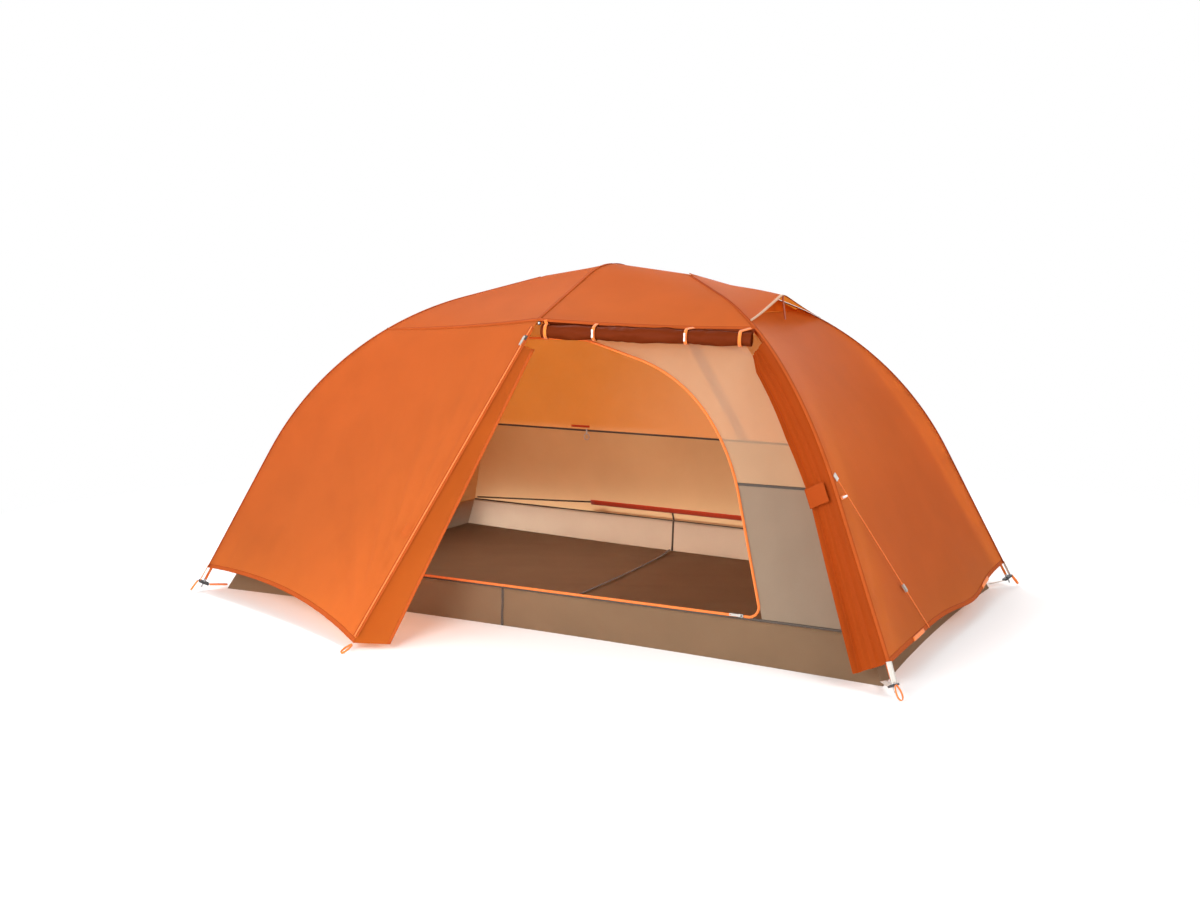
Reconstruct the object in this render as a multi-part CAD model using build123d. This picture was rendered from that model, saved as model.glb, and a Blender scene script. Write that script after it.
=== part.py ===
from build123d import *
import math
import os

# A freestanding two-person tent with its front door rolled up, in millimetres.
# X runs from the head end (-X) to the foot end (+X) and the open front faces -Y.
# The origin is on the ground, under the middle of the ridge.

HEAD, FOOT = -1, 1
FRONT, BACK = -1, 1
END_NAMES = {HEAD: "head", FOOT: "foot"}
SIDE_NAMES = {FRONT: "front", BACK: "back"}

# Pole frame
POLE_R = 4.35
POLE_BORE = 3.7
SHOCK_R = 1.3
RUNNING_FIT = 0.35
HUB_X, HUB_Z = 274, 1066
KNEE_X, KNEE_Z, KNEE_BEND = 800, 878, 1050
KNEE_SHARE = 0.65                      # the knee's half width as a share of the foot's
FOOT_X, FOOT_Z = 1200, 11
FOOT_Y = {HEAD: 773, FOOT: 688}
BROW_Y, BROW_TIP_Z = 478, 925
BROW_APEX_Z, BROW_BEND = 1145, 410
BROW_SLOPE = math.atan2(BROW_APEX_Z - BROW_TIP_Z, BROW_Y)
BROW_TOP_Z = BROW_APEX_Z - BROW_BEND * (1 / math.cos(BROW_SLOPE) - 1)
RIDGE_TOP_Z = BROW_TOP_Z - 2 * POLE_R - 1
SOCKET_R, SOCKET_LENGTH, SOCKET_STOP = 6.6, 34, 12
FERRULE_R, FERRULE_LENGTH, FERRULE_SHARES = 5.8, 40, (0.25, 0.5, 0.75)
TIP_LENGTH, TIP_PIN_R, TIP_SHOULDER = 34, 3.2, 8

# Inner tent
CLOTH = 2.0
MESH = 1.6
SEAM_GAP = 2.0
TUB_HEIGHT = 120
FLOOR_X, FLOOR_Y = 1145, {HEAD: 705, FOOT: 616}
FLOOR_BOW, FLOOR_END_BOW, TOP_BOW = 38, 18, 2
TUB_LEAN_X, TUB_LEAN_Y = 0.55, 0.32
WALL_LEAN = 0.36                       # how far the long walls lean in for each unit of height
WALL_TOP = 805                         # the long walls' height, measured up their slope
WALL_MID = (905, 370)
WALL_TOP_X = {HEAD: 630, FOOT: 624}
MESH_START = 377                       # cloth below, mesh above, measured up the slope
DOOR_HINGE_X, DOOR_HINGE_TOP_X = -460, -260
DOOR_X, DOOR_TOP_X = 794, 78
DOOR_BENDS = ((640, 455), (455, 690))
DOOR_RADII, DOOR_TOP_RADIUS = (700, 545), 300
ZIP_R, ZIP_OFF, ZIP_FOOT = 2.0, 4.6, 6
SLIDER_HEIGHT, PULL_LIFT, PULL_LENGTH = 6.0, 7.7, 34
INNER_DROP = 26                        # the inner roof hangs this far under the ridge
KEEPER_X, KEEPER_UP = -405, 395
GUARD_UP, GUARD_WIDTH = 48, 22
TRIM, TRIM_OFF = 1.8, 2.3              # webbing's thickness, and how far its middle is off the cloth
FAR = 2000                             # beyond every panel

# Rainfly
SEAM_LIFT = 12                         # the fly's seams lie this far outside the pole axes
HEM_Z = 75
HEM_RISE = 38                          # the vestibules' hems are cut up this far between their corners
HEADER_Z = {HEAD: 883, FOOT: 903}
END_DRAW, END_BELLY, ROOF_DRAW = 10, 22, 8
STAKE = Vector(-262, -1062, 24)        # front vestibule stake point
FLAP_FOOT = Vector(-178, -1000, 16)
RIDGE_GORE = 90
VENT_X, VENT_LAP, VENT_RISE = 604, 18, 81
VENT_WAY = Vector(-0.2, 0, 1).normalized()  # the way the hood is propped up
HOOD_LIFT = 5
ROLL_R = 24
ROLL_FROM, ROLL_TO = Vector(12, -480, 900), Vector(637, -360, 883)
ROLL_TIES, ROLL_END_TIES = (0.27, 0.72), (0.025, 0.975)
ROLL_WAIST, ROLL_SWELL, ROLL_FLAT, ROLL_STATIONS = 0.86, 0.18, 0.88, 24
LOOP_GAP, LOOP_WIDTH, TOGGLE_STEM = 1.6, 10, 3.6
FOLDS = 4
EDGE_OFF = 16                          # the folded door edge starts this far aside and in front of the leg
TIE_Z, TIE_LENGTH, TIE_WIDTH, TIE_OFF = 495, 66, 58, 15
EDGE_TOGGLE_Z = 468
GUY_R = 1.25
GUY_Z, GUY_HEM, TENSIONER_SHARE = 510, 0.295, 0.72
STAKE_LOOP = (44, 18)
BUCKLE = (36, 24)

UP = Vector(0, 0, 1)
MIDDLE = Vector(0, 0, 400)             # a point inside the tent, to tell outward from inward


def unit(vector):
    return vector.normalized()


def across(vector, axis):
    """The part of a vector that is square to an axis, at unit length."""
    axis = unit(axis)
    return unit(vector - axis * vector.dot(axis))


def tube(route, outer, inner=0.0):
    ring = Circle(outer) - Circle(inner) if inner else Circle(outer)
    return sweep(Plane(route @ 0, z_dir=route % 0) * ring, path=route)


def ribbon(start, end, width, thickness, face):
    """A flat strap from one point to another, with its flat side towards face."""
    along = end - start
    place = Plane((start + end) / 2, x_dir=along, z_dir=across(face, along))
    return place * Box(along.length, width, thickness)


def rod(start, end, radius):
    along = end - start
    upright = (Align.CENTER, Align.CENTER, Align.MIN)
    return Plane(start, z_dir=along) * Cylinder(radius, along.length, align=upright)


def mirrored(shape):
    return mirror(shape, about=Plane.XZ)


# Pole frame

def leg_route(end, side, start=0.0, stop=0.0):
    """A leg pole's axis from its hub to its foot, bent once at the knee."""
    hub = Vector(end * HUB_X, 0, HUB_Z)
    knee = Vector(end * KNEE_X, side * KNEE_SHARE * FOOT_Y[end], KNEE_Z)
    foot = Vector(end * FOOT_X, side * FOOT_Y[end], FOOT_Z)
    first = hub + unit(knee - hub) * start
    last = foot - unit(foot - knee) * stop
    return FilletPolyline(first, knee, last, radius=KNEE_BEND)


LEGS = {(end, side): leg_route(end, side) for end in (HEAD, FOOT) for side in (FRONT, BACK)}
BROW_TIPS = [(0, side * BROW_Y, BROW_TIP_Z) for side in (FRONT, BACK)]
BROW = FilletPolyline(BROW_TIPS[0], (0, 0, BROW_APEX_Z), BROW_TIPS[1], radius=BROW_BEND)
RIDGE = ThreePointArc((-HUB_X, 0, HUB_Z), (0, 0, RIDGE_TOP_Z), (HUB_X, 0, HUB_Z))


def share_at(route, axis, value):
    """How far along a leg, from 0 to 1, its X or Z comes to a value."""
    low, high = 0.0, 1.0
    rising = getattr(route @ 1, axis) > getattr(route @ 0, axis)
    for _ in range(40):
        middle = (low + high) / 2
        if (getattr(route @ middle, axis) < value) == rising:
            low = middle
        else:
            high = middle
    return (low + high) / 2


def leg_outward(end, side, share):
    """Square to a leg, in the plane of its bend, away from the tent."""
    route = LEGS[end, side]
    tangent = route % share
    bend = (route @ 0.5) - ((route @ 0) + (route @ 1)) / 2
    return across(bend, tangent)


def leg_seam(end, side, share, lift=SEAM_LIFT):
    return (LEGS[end, side] @ share) + leg_outward(end, side, share) * lift


def brow_seam(side, share):
    """A point of the fly over the brow pole: share 0 is its top, 1 its tip."""
    along = 0.5 - share / 2 if side == FRONT else 0.5 + share / 2
    return (BROW @ along) + across(UP, BROW % along) * SEAM_LIFT


def hub(end):
    centre = Vector(end * HUB_X, 0, HUB_Z)
    reach = SOCKET_LENGTH / RIDGE.length
    to_ridge = unit((RIDGE @ (reach if end == HEAD else 1 - reach)) - centre)
    ways = [LEGS[end, side] % 0 for side in (FRONT, BACK)] + [to_ridge]
    body = Pos(centre) * Sphere(9)
    for way in ways:
        body += rod(centre, centre + way * SOCKET_LENGTH, SOCKET_R)
    for way in ways:
        body -= rod(centre + way * (SOCKET_STOP - 1), centre + way * 2 * SOCKET_LENGTH, POLE_R + RUNNING_FIT)
    return body


def brow_swivel():
    middle = (BROW_TOP_Z + RIDGE_TOP_Z) / 2
    height = 2 * POLE_R + 13
    barrel = fillet(Cylinder(10, height).edges(), 3)
    bore = POLE_R + RUNNING_FIT
    barrel -= Pos(0, 0, BROW_TOP_Z - middle) * Rot(90, 0, 0) * Cylinder(bore, 40)
    barrel -= Pos(0, 0, RIDGE_TOP_Z - middle) * Rot(0, 90, 0) * Cylinder(bore, 40)
    return Pos(0, 0, middle) * barrel


def ferrules():
    sleeves = []
    for route in LEGS.values():
        for share in FERRULE_SHARES:
            sleeve = Cylinder(FERRULE_R, FERRULE_LENGTH) - Cylinder(POLE_R + 2 * RUNNING_FIT, FERRULE_LENGTH)
            sleeves.append(Plane(route @ share, z_dir=route % share) * sleeve)
    return Compound(sleeves)


def pole_tips():
    """The four leg tips with their pins, and the brow pole's two ball ends."""
    tips = []
    for route in LEGS.values():
        way = route % 1
        foot = route @ 1
        shoulder = foot - way * TIP_LENGTH
        pin = rod(shoulder, foot, TIP_PIN_R)
        pin = fillet(pin.edges().sort_by(Axis.Z)[0:1], TIP_PIN_R * 0.6)
        tips.append(pin + rod(shoulder, shoulder + way * TIP_SHOULDER, POLE_R))
    for end, way in ((BROW @ 0, BROW % 0), (BROW @ 1, (BROW % 1) * -1)):
        tips.append(Pos(end) * Sphere(6.4) - rod(end, end + way * 20, POLE_R + RUNNING_FIT))
    return Compound(tips)


def brow_pole():
    """The brow pole and its shock cord, seated in the ball ends."""
    reach = 2.0
    first, last = BROW @ 0 + (BROW % 0) * reach, BROW @ 1 - (BROW % 1) * reach
    route = FilletPolyline(first, (0, 0, BROW_APEX_Z), last, radius=BROW_BEND)
    return tube(route, POLE_R, POLE_BORE), tube(route, SHOCK_R)


def poles():
    """Every tube of the frame, and the shock cord inside each."""
    tubes, cords = {}, []
    stop = SOCKET_STOP / RIDGE.length
    ridge = RIDGE.trim(stop, 1 - stop)
    tubes["ridge_pole"] = tube(ridge, POLE_R, POLE_BORE)
    cords.append(tube(ridge, SHOCK_R))
    tubes["brow_pole"], cord = brow_pole()
    cords.append(cord)
    for end, side in LEGS:
        route = leg_route(end, side, SOCKET_STOP, TIP_LENGTH)
        tubes[f"leg_pole_{END_NAMES[end]}_{SIDE_NAMES[side]}"] = tube(route, POLE_R, POLE_BORE)
        cords.append(tube(route, SHOCK_R))
    tubes["shock_cords"] = Compound(cords)
    return tubes


# Cloth stretched between two edges

def stretched(edge_a, edge_b, share):
    """Two edges' points at a share of a panel's length, and the way out of the tent there."""
    before, after = max(share - 0.02, 0), min(share + 0.02, 1)
    a, b = edge_a(share), edge_b(share)
    along = edge_a(after) + edge_b(after) - edge_a(before) - edge_b(before)
    outward = unit(unit(b - a).cross(along))
    if outward.dot((a + b) / 2 - MIDDLE) < 0:
        outward = outward * -1
    return a, b, outward


def panel(edge_a, edge_b, draw_in, thickness=CLOTH, stations=5, gap_a=SEAM_GAP, gap_b=SEAM_GAP):
    """Cloth between two edges, each a function of a share from 0 to 1, drawn in between them."""
    sections = []
    for number in range(stations + 1):
        share = number / stations
        a, b, outward = stretched(edge_a, edge_b, share)
        width = unit(b - a)
        a, b = a + width * gap_a, b - width * gap_b
        middle = (a + b) / 2 - outward * max(draw_in(share), 0.6)
        half = outward * (thickness / 2)
        sections.append(make_face([
            ThreePointArc(a + half, middle + half, b + half), Line(b + half, b - half),
            ThreePointArc(b - half, middle - half, a - half), Line(a - half, a + half)]))
    return loft(sections)


def on_panel(edges, share, crosswise, draw, off):
    """A point at a height off a panel, and the way out there; crosswise runs from edge to edge."""
    a, b, outward = stretched(*edges, share)
    drawn = 4 * draw * crosswise * (1 - crosswise)
    return a + (b - a) * crosswise + outward * (off - drawn), outward


def between(start, end):
    """A straight edge for panel()."""
    return lambda share: start + (end - start) * share


def along_leg(end, side, start, stop, lift=SEAM_LIFT):
    """An edge for panel() that follows a leg's seam between two shares of its length."""
    return lambda share: leg_seam(end, side, start + (stop - start) * share, lift)


def header_share(end):
    return share_at(LEGS[end, FRONT], "Z", HEADER_Z[end])


def hem_share(end):
    return share_at(LEGS[end, FRONT], "Z", HEM_Z)


def roof_edges(end):
    start = 2 * RIDGE_GORE / BROW.length
    return (lambda share: brow_seam(FRONT, start + (1 - start) * share),
            along_leg(end, FRONT, 0.008, header_share(end)))


def fly_roof(end):
    """One front roof panel, from the ridge gore to the header."""
    return panel(*roof_edges(end), lambda share: ROOF_DRAW * share)


def header_point(crosswise):
    """A point of the header over the front door, from the brow pole's tip to the foot-end leg."""
    return on_panel(roof_edges(FOOT), 1, crosswise, ROOF_DRAW, 0)[0]


def fly_ridge():
    """The small diamond over the ridge, from hub to hub."""
    gore = None
    for end in (HEAD, FOOT):
        top = brow_seam(FRONT, 0)
        sections = []
        for share in (0, 0.5, 0.9):
            half = (RIDGE_GORE - 2 * SEAM_GAP) * (1 - share)
            spine = top + (leg_seam(end, FRONT, 0) - top) * share
            fall = half * half / (2 * BROW_BEND)
            x, z = end * HUB_X * share, spine.Z
            sections.append(make_face([
                ThreePointArc((x, -half, z - fall + 1), (x, 0, z + 1), (x, half, z - fall + 1)),
                Line((x, half, z - fall + 1), (x, half, z - fall - 1)),
                ThreePointArc((x, half, z - fall - 1), (x, 0, z - 1), (x, -half, z - fall - 1)),
                Line((x, -half, z - fall - 1), (x, -half, z - fall + 1))]))
        half_gore = loft(sections, ruled=True)
        gore = half_gore if gore is None else gore + half_gore
    return gore


def end_draw(share):
    return END_DRAW + END_BELLY * math.sin(math.pi * share)


def end_edges(end):
    start = share_at(LEGS[end, FRONT], "X", VENT_X) if end == FOOT else 0.06
    return [along_leg(end, side, start, hem_share(end)) for side in (FRONT, BACK)]


def fly_end(end):
    return panel(*end_edges(end), end_draw, stations=14)


def zip_line(side, inset=0.0):
    """The straight edge of a vestibule, from the brow pole's tip to the stake point.

    The back vestibule is the front one turned half round."""
    tip = brow_seam(FRONT, 1) + Vector(inset, 0, 0)
    foot = STAKE + Vector(inset, 0, 0)
    if side == BACK:
        tip, foot = Vector(-tip.X, -tip.Y, tip.Z), Vector(-foot.X, -foot.Y, foot.Z)
    return tip, foot


def vestibule(end, side):
    """A vestibule panel from its leg to the zip, its hem cut up in a curve between the stakes."""
    start, stop = header_share(end) + 0.004, hem_share(end)
    tip, foot = zip_line(side)
    tip = tip + unit(foot - tip) * 6
    edges = along_leg(end, side, start, stop), between(tip, foot)
    sheet = panel(*edges, lambda share: 8 + 22 * math.sin(math.pi * share), stations=6)
    corner, stake, outward = stretched(*edges, 1)
    chord = stake - corner
    rise = across(across(UP, outward), chord)
    first, last = corner + chord * 0.03 - rise, stake - chord * 0.03 - rise
    below = rise * -HEM_RISE
    hem = make_face([
        ThreePointArc(first, (first + last) / 2 + rise * HEM_RISE, last), Line(last, last + below),
        Line(last + below, first + below), Line(first + below, first)])
    return sheet - extrude(hem, amount=HEM_RISE, both=True)


def fly_zip_flap():
    """The storm flap beside the front zip, turned in towards the doorway."""
    tip, foot = zip_line(FRONT)
    top = tip + unit(foot - tip) * 95
    return panel(between(top, foot), between(top + Vector(26, 22, -14), FLAP_FOOT), lambda share: 2)


def fly_zip(side):
    """The zip's tape and coil, outside the edge that it is sewn to."""
    tip, foot = zip_line(side, -4.0 if side == FRONT else 0.0)
    way = unit(foot - tip)
    out = across(Vector(0, side, 0.5), way) * ZIP_OFF
    return rod(tip + way * 30 + out, foot - way * 20 + out, ZIP_R)


def vent_section(share):
    """The hood's two edges and its peak at a share of its length."""
    legs = LEGS[FOOT, FRONT]
    start, stop = 0.075, share_at(legs, "X", VENT_X + VENT_LAP)
    at = start + (stop - start) * share
    front, back = (leg_seam(FOOT, side, at, SEAM_LIFT + HOOD_LIFT) for side in (FRONT, BACK))
    peak = (front + back) / 2 + VENT_WAY * (4 + (VENT_RISE - 4) * share * share)
    return front, back, peak


def vent_hood():
    """The propped hood: a peaked sheet from the hub to its free edge over the vent."""
    sections = []
    for share in (0, 0.35, 0.7, 1):
        front, back, peak = vent_section(share)
        inward = Vector(0, 2 * SEAM_GAP, 0)
        front, back = front + inward, back - inward
        half = VENT_WAY * (CLOTH / 2)
        sections.append(make_face(Polyline(front + half, peak + half, back + half, back - half,
                                           peak - half, front - half, close=True)))
    return loft(sections)


def vent_screen():
    """The mesh that closes the vent, under the hood."""
    front, back, peak = vent_section(0.84)
    low = VENT_WAY * -4
    front, back = front + (back - front) * 0.07 + low, back + (front - back) * 0.07 + low
    face = make_face(Polyline(front, peak - VENT_WAY * 14, back, close=True))
    return extrude(face, amount=MESH / 2, both=True, dir=across(Vector(1, 0, 0), VENT_WAY))


def vent_strut_ends():
    """The strut's pivot on the end panel and its tip under the hood's peak."""
    legs = LEGS[FOOT, FRONT]
    at = share_at(legs, "X", VENT_X + 0.5 * VENT_LAP)
    seam = leg_seam(FOOT, FRONT, at)
    outward = across(UP, Vector((legs % at).X, 0, (legs % at).Z))
    return Vector(seam.X, 0, seam.Z) - outward * 2, vent_section(0.97)[2] - VENT_WAY * 4


def vent_strut():
    base, tip = vent_strut_ends()
    return ribbon(base, tip, 12, 2.4, Vector(1, 0, 0))


# Inner tent

def tub_outline(z, inset=0.0):
    """The floor's outline at a height, its edges bowed in between the corners."""
    rise = 1 - z / TUB_HEIGHT
    x = FLOOR_X - TUB_LEAN_X * z - inset
    head_y, foot_y = (FLOOR_Y[end] - TUB_LEAN_Y * z - inset for end in (HEAD, FOOT))
    middle_y = (head_y + foot_y) / 2 - TOP_BOW - FLOOR_BOW * rise
    end_x = x - TOP_BOW - FLOOR_END_BOW * rise
    return make_face([
        ThreePointArc((-x, -head_y, z), (0, -middle_y, z), (x, -foot_y, z)),
        ThreePointArc((x, -foot_y, z), (end_x, 0, z), (x, foot_y, z)),
        ThreePointArc((x, foot_y, z), (0, middle_y, z), (-x, head_y, z)),
        ThreePointArc((-x, head_y, z), (-end_x, 0, z), (-x, -head_y, z))])


def floor_tub():
    outside = loft([tub_outline(0), tub_outline(TUB_HEIGHT)], ruled=True)
    inside = loft([tub_outline(CLOTH, CLOTH), tub_outline(TUB_HEIGHT + 1, CLOTH)], ruled=True)
    return outside - inside


def wall_corner(end, side):
    x = FLOOR_X - TUB_LEAN_X * TUB_HEIGHT
    y = FLOOR_Y[end] - TUB_LEAN_Y * TUB_HEIGHT
    return Vector(end * x, side * y, TUB_HEIGHT)


def wall_plane(side):
    """A long wall's plane: local X along the floor, local Y up the wall, facing -Y."""
    head, foot = wall_corner(HEAD, side), wall_corner(FOOT, side)
    normal = (foot - head).cross(Vector(0, -side * WALL_LEAN, 1))
    return Plane((head + foot) / 2, x_dir=foot - head, z_dir=normal)


def wall_point(side, x, up, off=0.0):
    return wall_plane(side).from_local_coords(Vector(x, up, off))


def wall_edge(end, share, side):
    """A point of a long wall's slanting end edge, from the floor up to the header."""
    corner_x = FLOOR_X - TUB_LEAN_X * TUB_HEIGHT - 3
    arc = ThreePointArc((corner_x, 1), WALL_MID, (WALL_TOP_X[end], WALL_TOP))
    point = arc @ share
    return wall_point(side, end * point.X, point.Y)


def wall_outline():
    corner_x = FLOOR_X - TUB_LEAN_X * TUB_HEIGHT - 3
    mid_x, mid_up = WALL_MID
    return make_face([
        Line((-corner_x, 1), (corner_x, 1)),
        ThreePointArc((corner_x, 1), (mid_x, mid_up), (WALL_TOP_X[FOOT], WALL_TOP)),
        Line((WALL_TOP_X[FOOT], WALL_TOP), (-WALL_TOP_X[HEAD], WALL_TOP)),
        ThreePointArc((-WALL_TOP_X[HEAD], WALL_TOP), (-mid_x, mid_up), (-corner_x, 1))])


def head_of_zip(shift):
    """Everything on the head side of the door zip's run up the wall."""
    (first_x, first_up), (last_x, last_up) = DOOR_BENDS
    below, above = -60, WALL_TOP + 60
    low_x = DOOR_X + (DOOR_X - first_x) * -below / first_up
    high_x = last_x + (DOOR_TOP_X - last_x) * (above - last_up) / (WALL_TOP - last_up)
    run = FilletPolyline((low_x + shift, below), (first_x + shift, first_up), (last_x + shift, last_up),
                         (high_x + shift, above), radius=DOOR_RADII)
    return make_face(run.edges() + Polyline((high_x + shift, above), (-FAR, above), (-FAR, below),
                                            (low_x + shift, below)).edges())


def head_of_hinge(shift):
    """Everything on the head side of the door's hinge seam."""
    lean = (DOOR_HINGE_TOP_X - DOOR_HINGE_X) / WALL_TOP
    below, above = -60, WALL_TOP + 60
    return make_face(Polyline((DOOR_HINGE_X + below * lean + shift, below),
                              (DOOR_HINGE_X + above * lean + shift, above),
                              (-FAR, above), (-FAR, below), close=True))


def wall_panels(side):
    """The panels of one long wall: head side, foot side and, at the back, the closed door."""
    wall = wall_outline()
    seam = 1.5
    fields = {"head": wall & head_of_hinge(-seam), "foot": wall - head_of_zip(seam)}
    if side == BACK:
        fields["door"] = (wall & head_of_zip(-seam)) - head_of_hinge(seam)
    bands = {"lower": Pos(0, MESH_START - 500 - seam / 2) * Rectangle(2 * FAR, 1000),
             "mesh": Pos(0, MESH_START + 500 + seam / 2) * Rectangle(2 * FAR, 1000)}
    panels = {}
    for field, area in fields.items():
        for band, strip in bands.items():
            sheet = extrude(area & strip, amount=MESH / 2, both=True)
            name = f"back_door_{band}" if field == "door" else f"inner_{SIDE_NAMES[side]}_{band}"
            panels.setdefault(name, []).append(wall_plane(side) * sheet)
    return {name: Compound(sheets) for name, sheets in panels.items()}


def inner_end(end):
    """An end wall up to the header, and the gore from there to the hub."""
    wall = panel(lambda share: wall_edge(end, share, FRONT), lambda share: wall_edge(end, share, BACK),
                 lambda share: 3 + 10 * math.sin(math.pi * share), MESH, 5, 4, 4)
    top = Vector(end * (HUB_X + 26), 0, HUB_Z - INNER_DROP - 10)
    edges = []
    for side in (FRONT, BACK):
        foot = wall_edge(end, 1, side) + Vector(-end * 2, 0, 3)
        edges.append(between(foot, foot + (top - foot) * 0.93))
    gore = panel(edges[0], edges[1], lambda share: 1.5, MESH, 2, 4, 4)
    return [wall, gore]


def inner_roof(side):
    """One slope of the inner roof, from the header up to the ridge line."""
    low = [wall_edge(end, 1, side) + Vector(0, -side * 1, 4) for end in (HEAD, FOOT)]
    high = [Vector(end * (HUB_X + 14), side * 2, HUB_Z - INNER_DROP) for end in (HEAD, FOOT)]
    return panel(between(low[0], low[1]), between(high[0], high[1]), lambda share: 5, MESH, 2, 2, 2)


def door_zip(side):
    """The door zip: along the floor, round the corner, up the D of the door and along its top."""
    first, last = DOOR_BENDS
    off = ZIP_OFF if side == FRONT else -ZIP_OFF
    top = WALL_TOP - ZIP_FOOT
    turn = last[0] + (DOOR_TOP_X - last[0]) * (top - last[1]) / (WALL_TOP - last[1])
    local = [(DOOR_HINGE_X + 5, ZIP_FOOT), (DOOR_X - 2, ZIP_FOOT), first, last, (turn, top),
             (DOOR_HINGE_TOP_X + 8, top)]
    points = [wall_point(side, x, up, off) for x, up in local]
    return tube(FilletPolyline(*points, radius=(26,) + DOOR_RADII + (DOOR_TOP_RADIUS,)), ZIP_R)


def slider(place):
    """A zip slider: a bored block on the coil, local X along the zip, local Z away from the cloth."""
    block = fillet(Box(15, 9.5, SLIDER_HEIGHT).edges().filter_by(Axis.Z), 2.2)
    bail = Pos(0, 0, SLIDER_HEIGHT / 2 + 1.1) * Box(6, 2.4, 2.4)
    return place * (block + bail - Rot(0, 90, 0) * Cylinder(ZIP_R + 0.6, 20))


def zip_pull(place):
    """A slider's pull tab, lying along the zip over its slider."""
    tab = extrude(RectangleRounded(PULL_LENGTH, 7, 2.5), amount=1.0, both=True)
    tab -= Pos(PULL_LENGTH / 2 - 4, 0) * Cylinder(1.6, 4)
    return place * Pos(PULL_LENGTH / 2 - 2, 0, PULL_LIFT) * tab


def door_slider_place(side):
    """Where a door slider is parked: at the zip's floor corner in front, by the hinge at the back."""
    outside = 1 if side == FRONT else -1
    x = DOOR_X - 60 if side == FRONT else DOOR_HINGE_X + 40
    plane = wall_plane(side)
    place = wall_point(side, x, ZIP_FOOT, outside * ZIP_OFF)
    return Plane(place, x_dir=plane.x_dir * -outside, z_dir=plane.z_dir * outside)


def fly_slider_place(side):
    """The front fly slider is parked under the brow pole, the back one near the ground."""
    tip, foot = zip_line(side, -4.0 if side == FRONT else 0.0)
    way = unit(foot - tip)
    out = across(Vector(0, side, 0.5), way)
    along = 70 if side == FRONT else (foot - tip).length - 90
    return Plane(tip + way * along + out * ZIP_OFF, x_dir=way, z_dir=out)


def fold_outline(place, width, depth):
    """Gathered cloth in section: folds side by side that deepen away from the sewn edge."""
    step = width / FOLDS
    edges = [Line((0, -CLOTH), (0, CLOTH)), Line((width, -CLOTH), (width, CLOTH))]
    for number in range(FOLDS):
        x = number * step
        bulge = depth * (number + 0.5) / FOLDS * (-1 if number % 2 else 1)
        for face in (-CLOTH, CLOTH):
            edges.append(ThreePointArc((x, face), (x + step / 2, face + bulge), (x + step, face)))
    return place * make_face(edges)


def between_ties(share, ties):
    """How far gathered cloth has opened out at a share of its length: 0 at a tie, 1 well away from them."""
    nearest = min(abs(share - tie) for tie in ties)
    return math.sin(min(nearest / 0.12, 1) * math.pi / 2)


def inner_front_door():
    """The opened front door, gathered beside its hinge seam on the head side and tied at half height."""
    hinge = unit(wall_point(FRONT, DOOR_HINGE_TOP_X, WALL_TOP) - wall_point(FRONT, DOOR_HINGE_X, 0))
    normal = wall_plane(FRONT).z_dir
    headwards = unit(across(Vector(-1, 0, 0), hinge) + normal * 0.16)
    sections = []
    for number in range(11):
        share = number / 10
        up = 60 + 680 * share
        x = DOOR_HINGE_X + (DOOR_HINGE_TOP_X - DOOR_HINGE_X) * up / WALL_TOP
        width = 66 + (38 - 20 * share) * between_ties(share, (0.5,))
        place = Plane(wall_point(FRONT, x - 3, up, 4.5), x_dir=headwards, z_dir=hinge)
        sections.append(fold_outline(place, width, width / 9))
    return loft(sections, ruled=True)


def door_edge_start(share):
    """Where the folded door edge starts, beside the foot-end leg, and the way it is folded."""
    legs = LEGS[FOOT, FRONT]
    aside = unit((legs % share).cross(Vector(0, -1, 0)))
    return (legs @ share) + aside * EDGE_OFF + Vector(0, -EDGE_OFF, 0), aside


def fly_door_edge():
    """The open edge of the fly's door: cloth from the leg's seam, folded and tied along the leg."""
    legs = LEGS[FOOT, FRONT]
    top, bottom, tie = (share_at(legs, "Z", z) for z in (815, 95, TIE_Z))
    sections = []
    for number in range(13):
        share = number / 12
        at = top + (bottom - top) * share
        start, aside = door_edge_start(at)
        width = 50 + (4 + 18 * share) * between_ties(share, ((tie - top) / (bottom - top),))
        sections.append(fold_outline(Plane(start, x_dir=aside, z_dir=legs % at), width, width / 8))
    folded = loft(sections, ruled=True)
    sewn = panel(along_leg(FOOT, FRONT, top, bottom),
                 lambda share: door_edge_start(top + (bottom - top) * share)[0],
                 lambda share: 0, gap_b=0.6)
    return Compound([sewn, folded])


def door_edge_tie():
    """The band that holds the folded door edge to the leg."""
    legs = LEGS[FOOT, FRONT]
    share = share_at(legs, "Z", TIE_Z)
    start, aside = door_edge_start(share)
    out = across(Vector(0, -1, 0), legs % share)
    start = start - aside * 6 + out * TIE_OFF
    return ribbon(start, start + aside * TIE_LENGTH, TIE_WIDTH, TRIM, out)


def beside_leg(z, crosswise, off):
    """A point off the foot-end panel, beside the front leg's seam at a height, and the way out there."""
    legs = LEGS[FOOT, FRONT]
    start = share_at(legs, "X", VENT_X)
    down = (share_at(legs, "Z", z) - start) / (hem_share(FOOT) - start)
    return on_panel(end_edges(FOOT), down, crosswise, end_draw(down), off)


def edge_loop():
    """The webbing loop that the door edge's toggle holds, on the end panel beside the leg's seam."""
    start, outward = beside_leg(EDGE_TOGGLE_Z, 0.012, CLOTH + TRIM)
    stop, _ = beside_leg(EDGE_TOGGLE_Z, 0.05, CLOTH + TRIM)
    return ribbon(start, stop, LOOP_WIDTH, TRIM, outward)


def roll_frame(share):
    """The roll's axis at a share of its length: local X up, local Z along the roll."""
    along = ROLL_TO - ROLL_FROM
    return Plane(ROLL_FROM + along * share, x_dir=across(UP, along), z_dir=along)


def on_roll(share, forward, reach):
    """A point at a distance from the roll's axis, above it and by a slope forward."""
    frame = roll_frame(share)
    return frame.origin + unit(frame.x_dir + across(Vector(0, -1, 0), frame.z_dir) * forward) * reach


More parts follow.
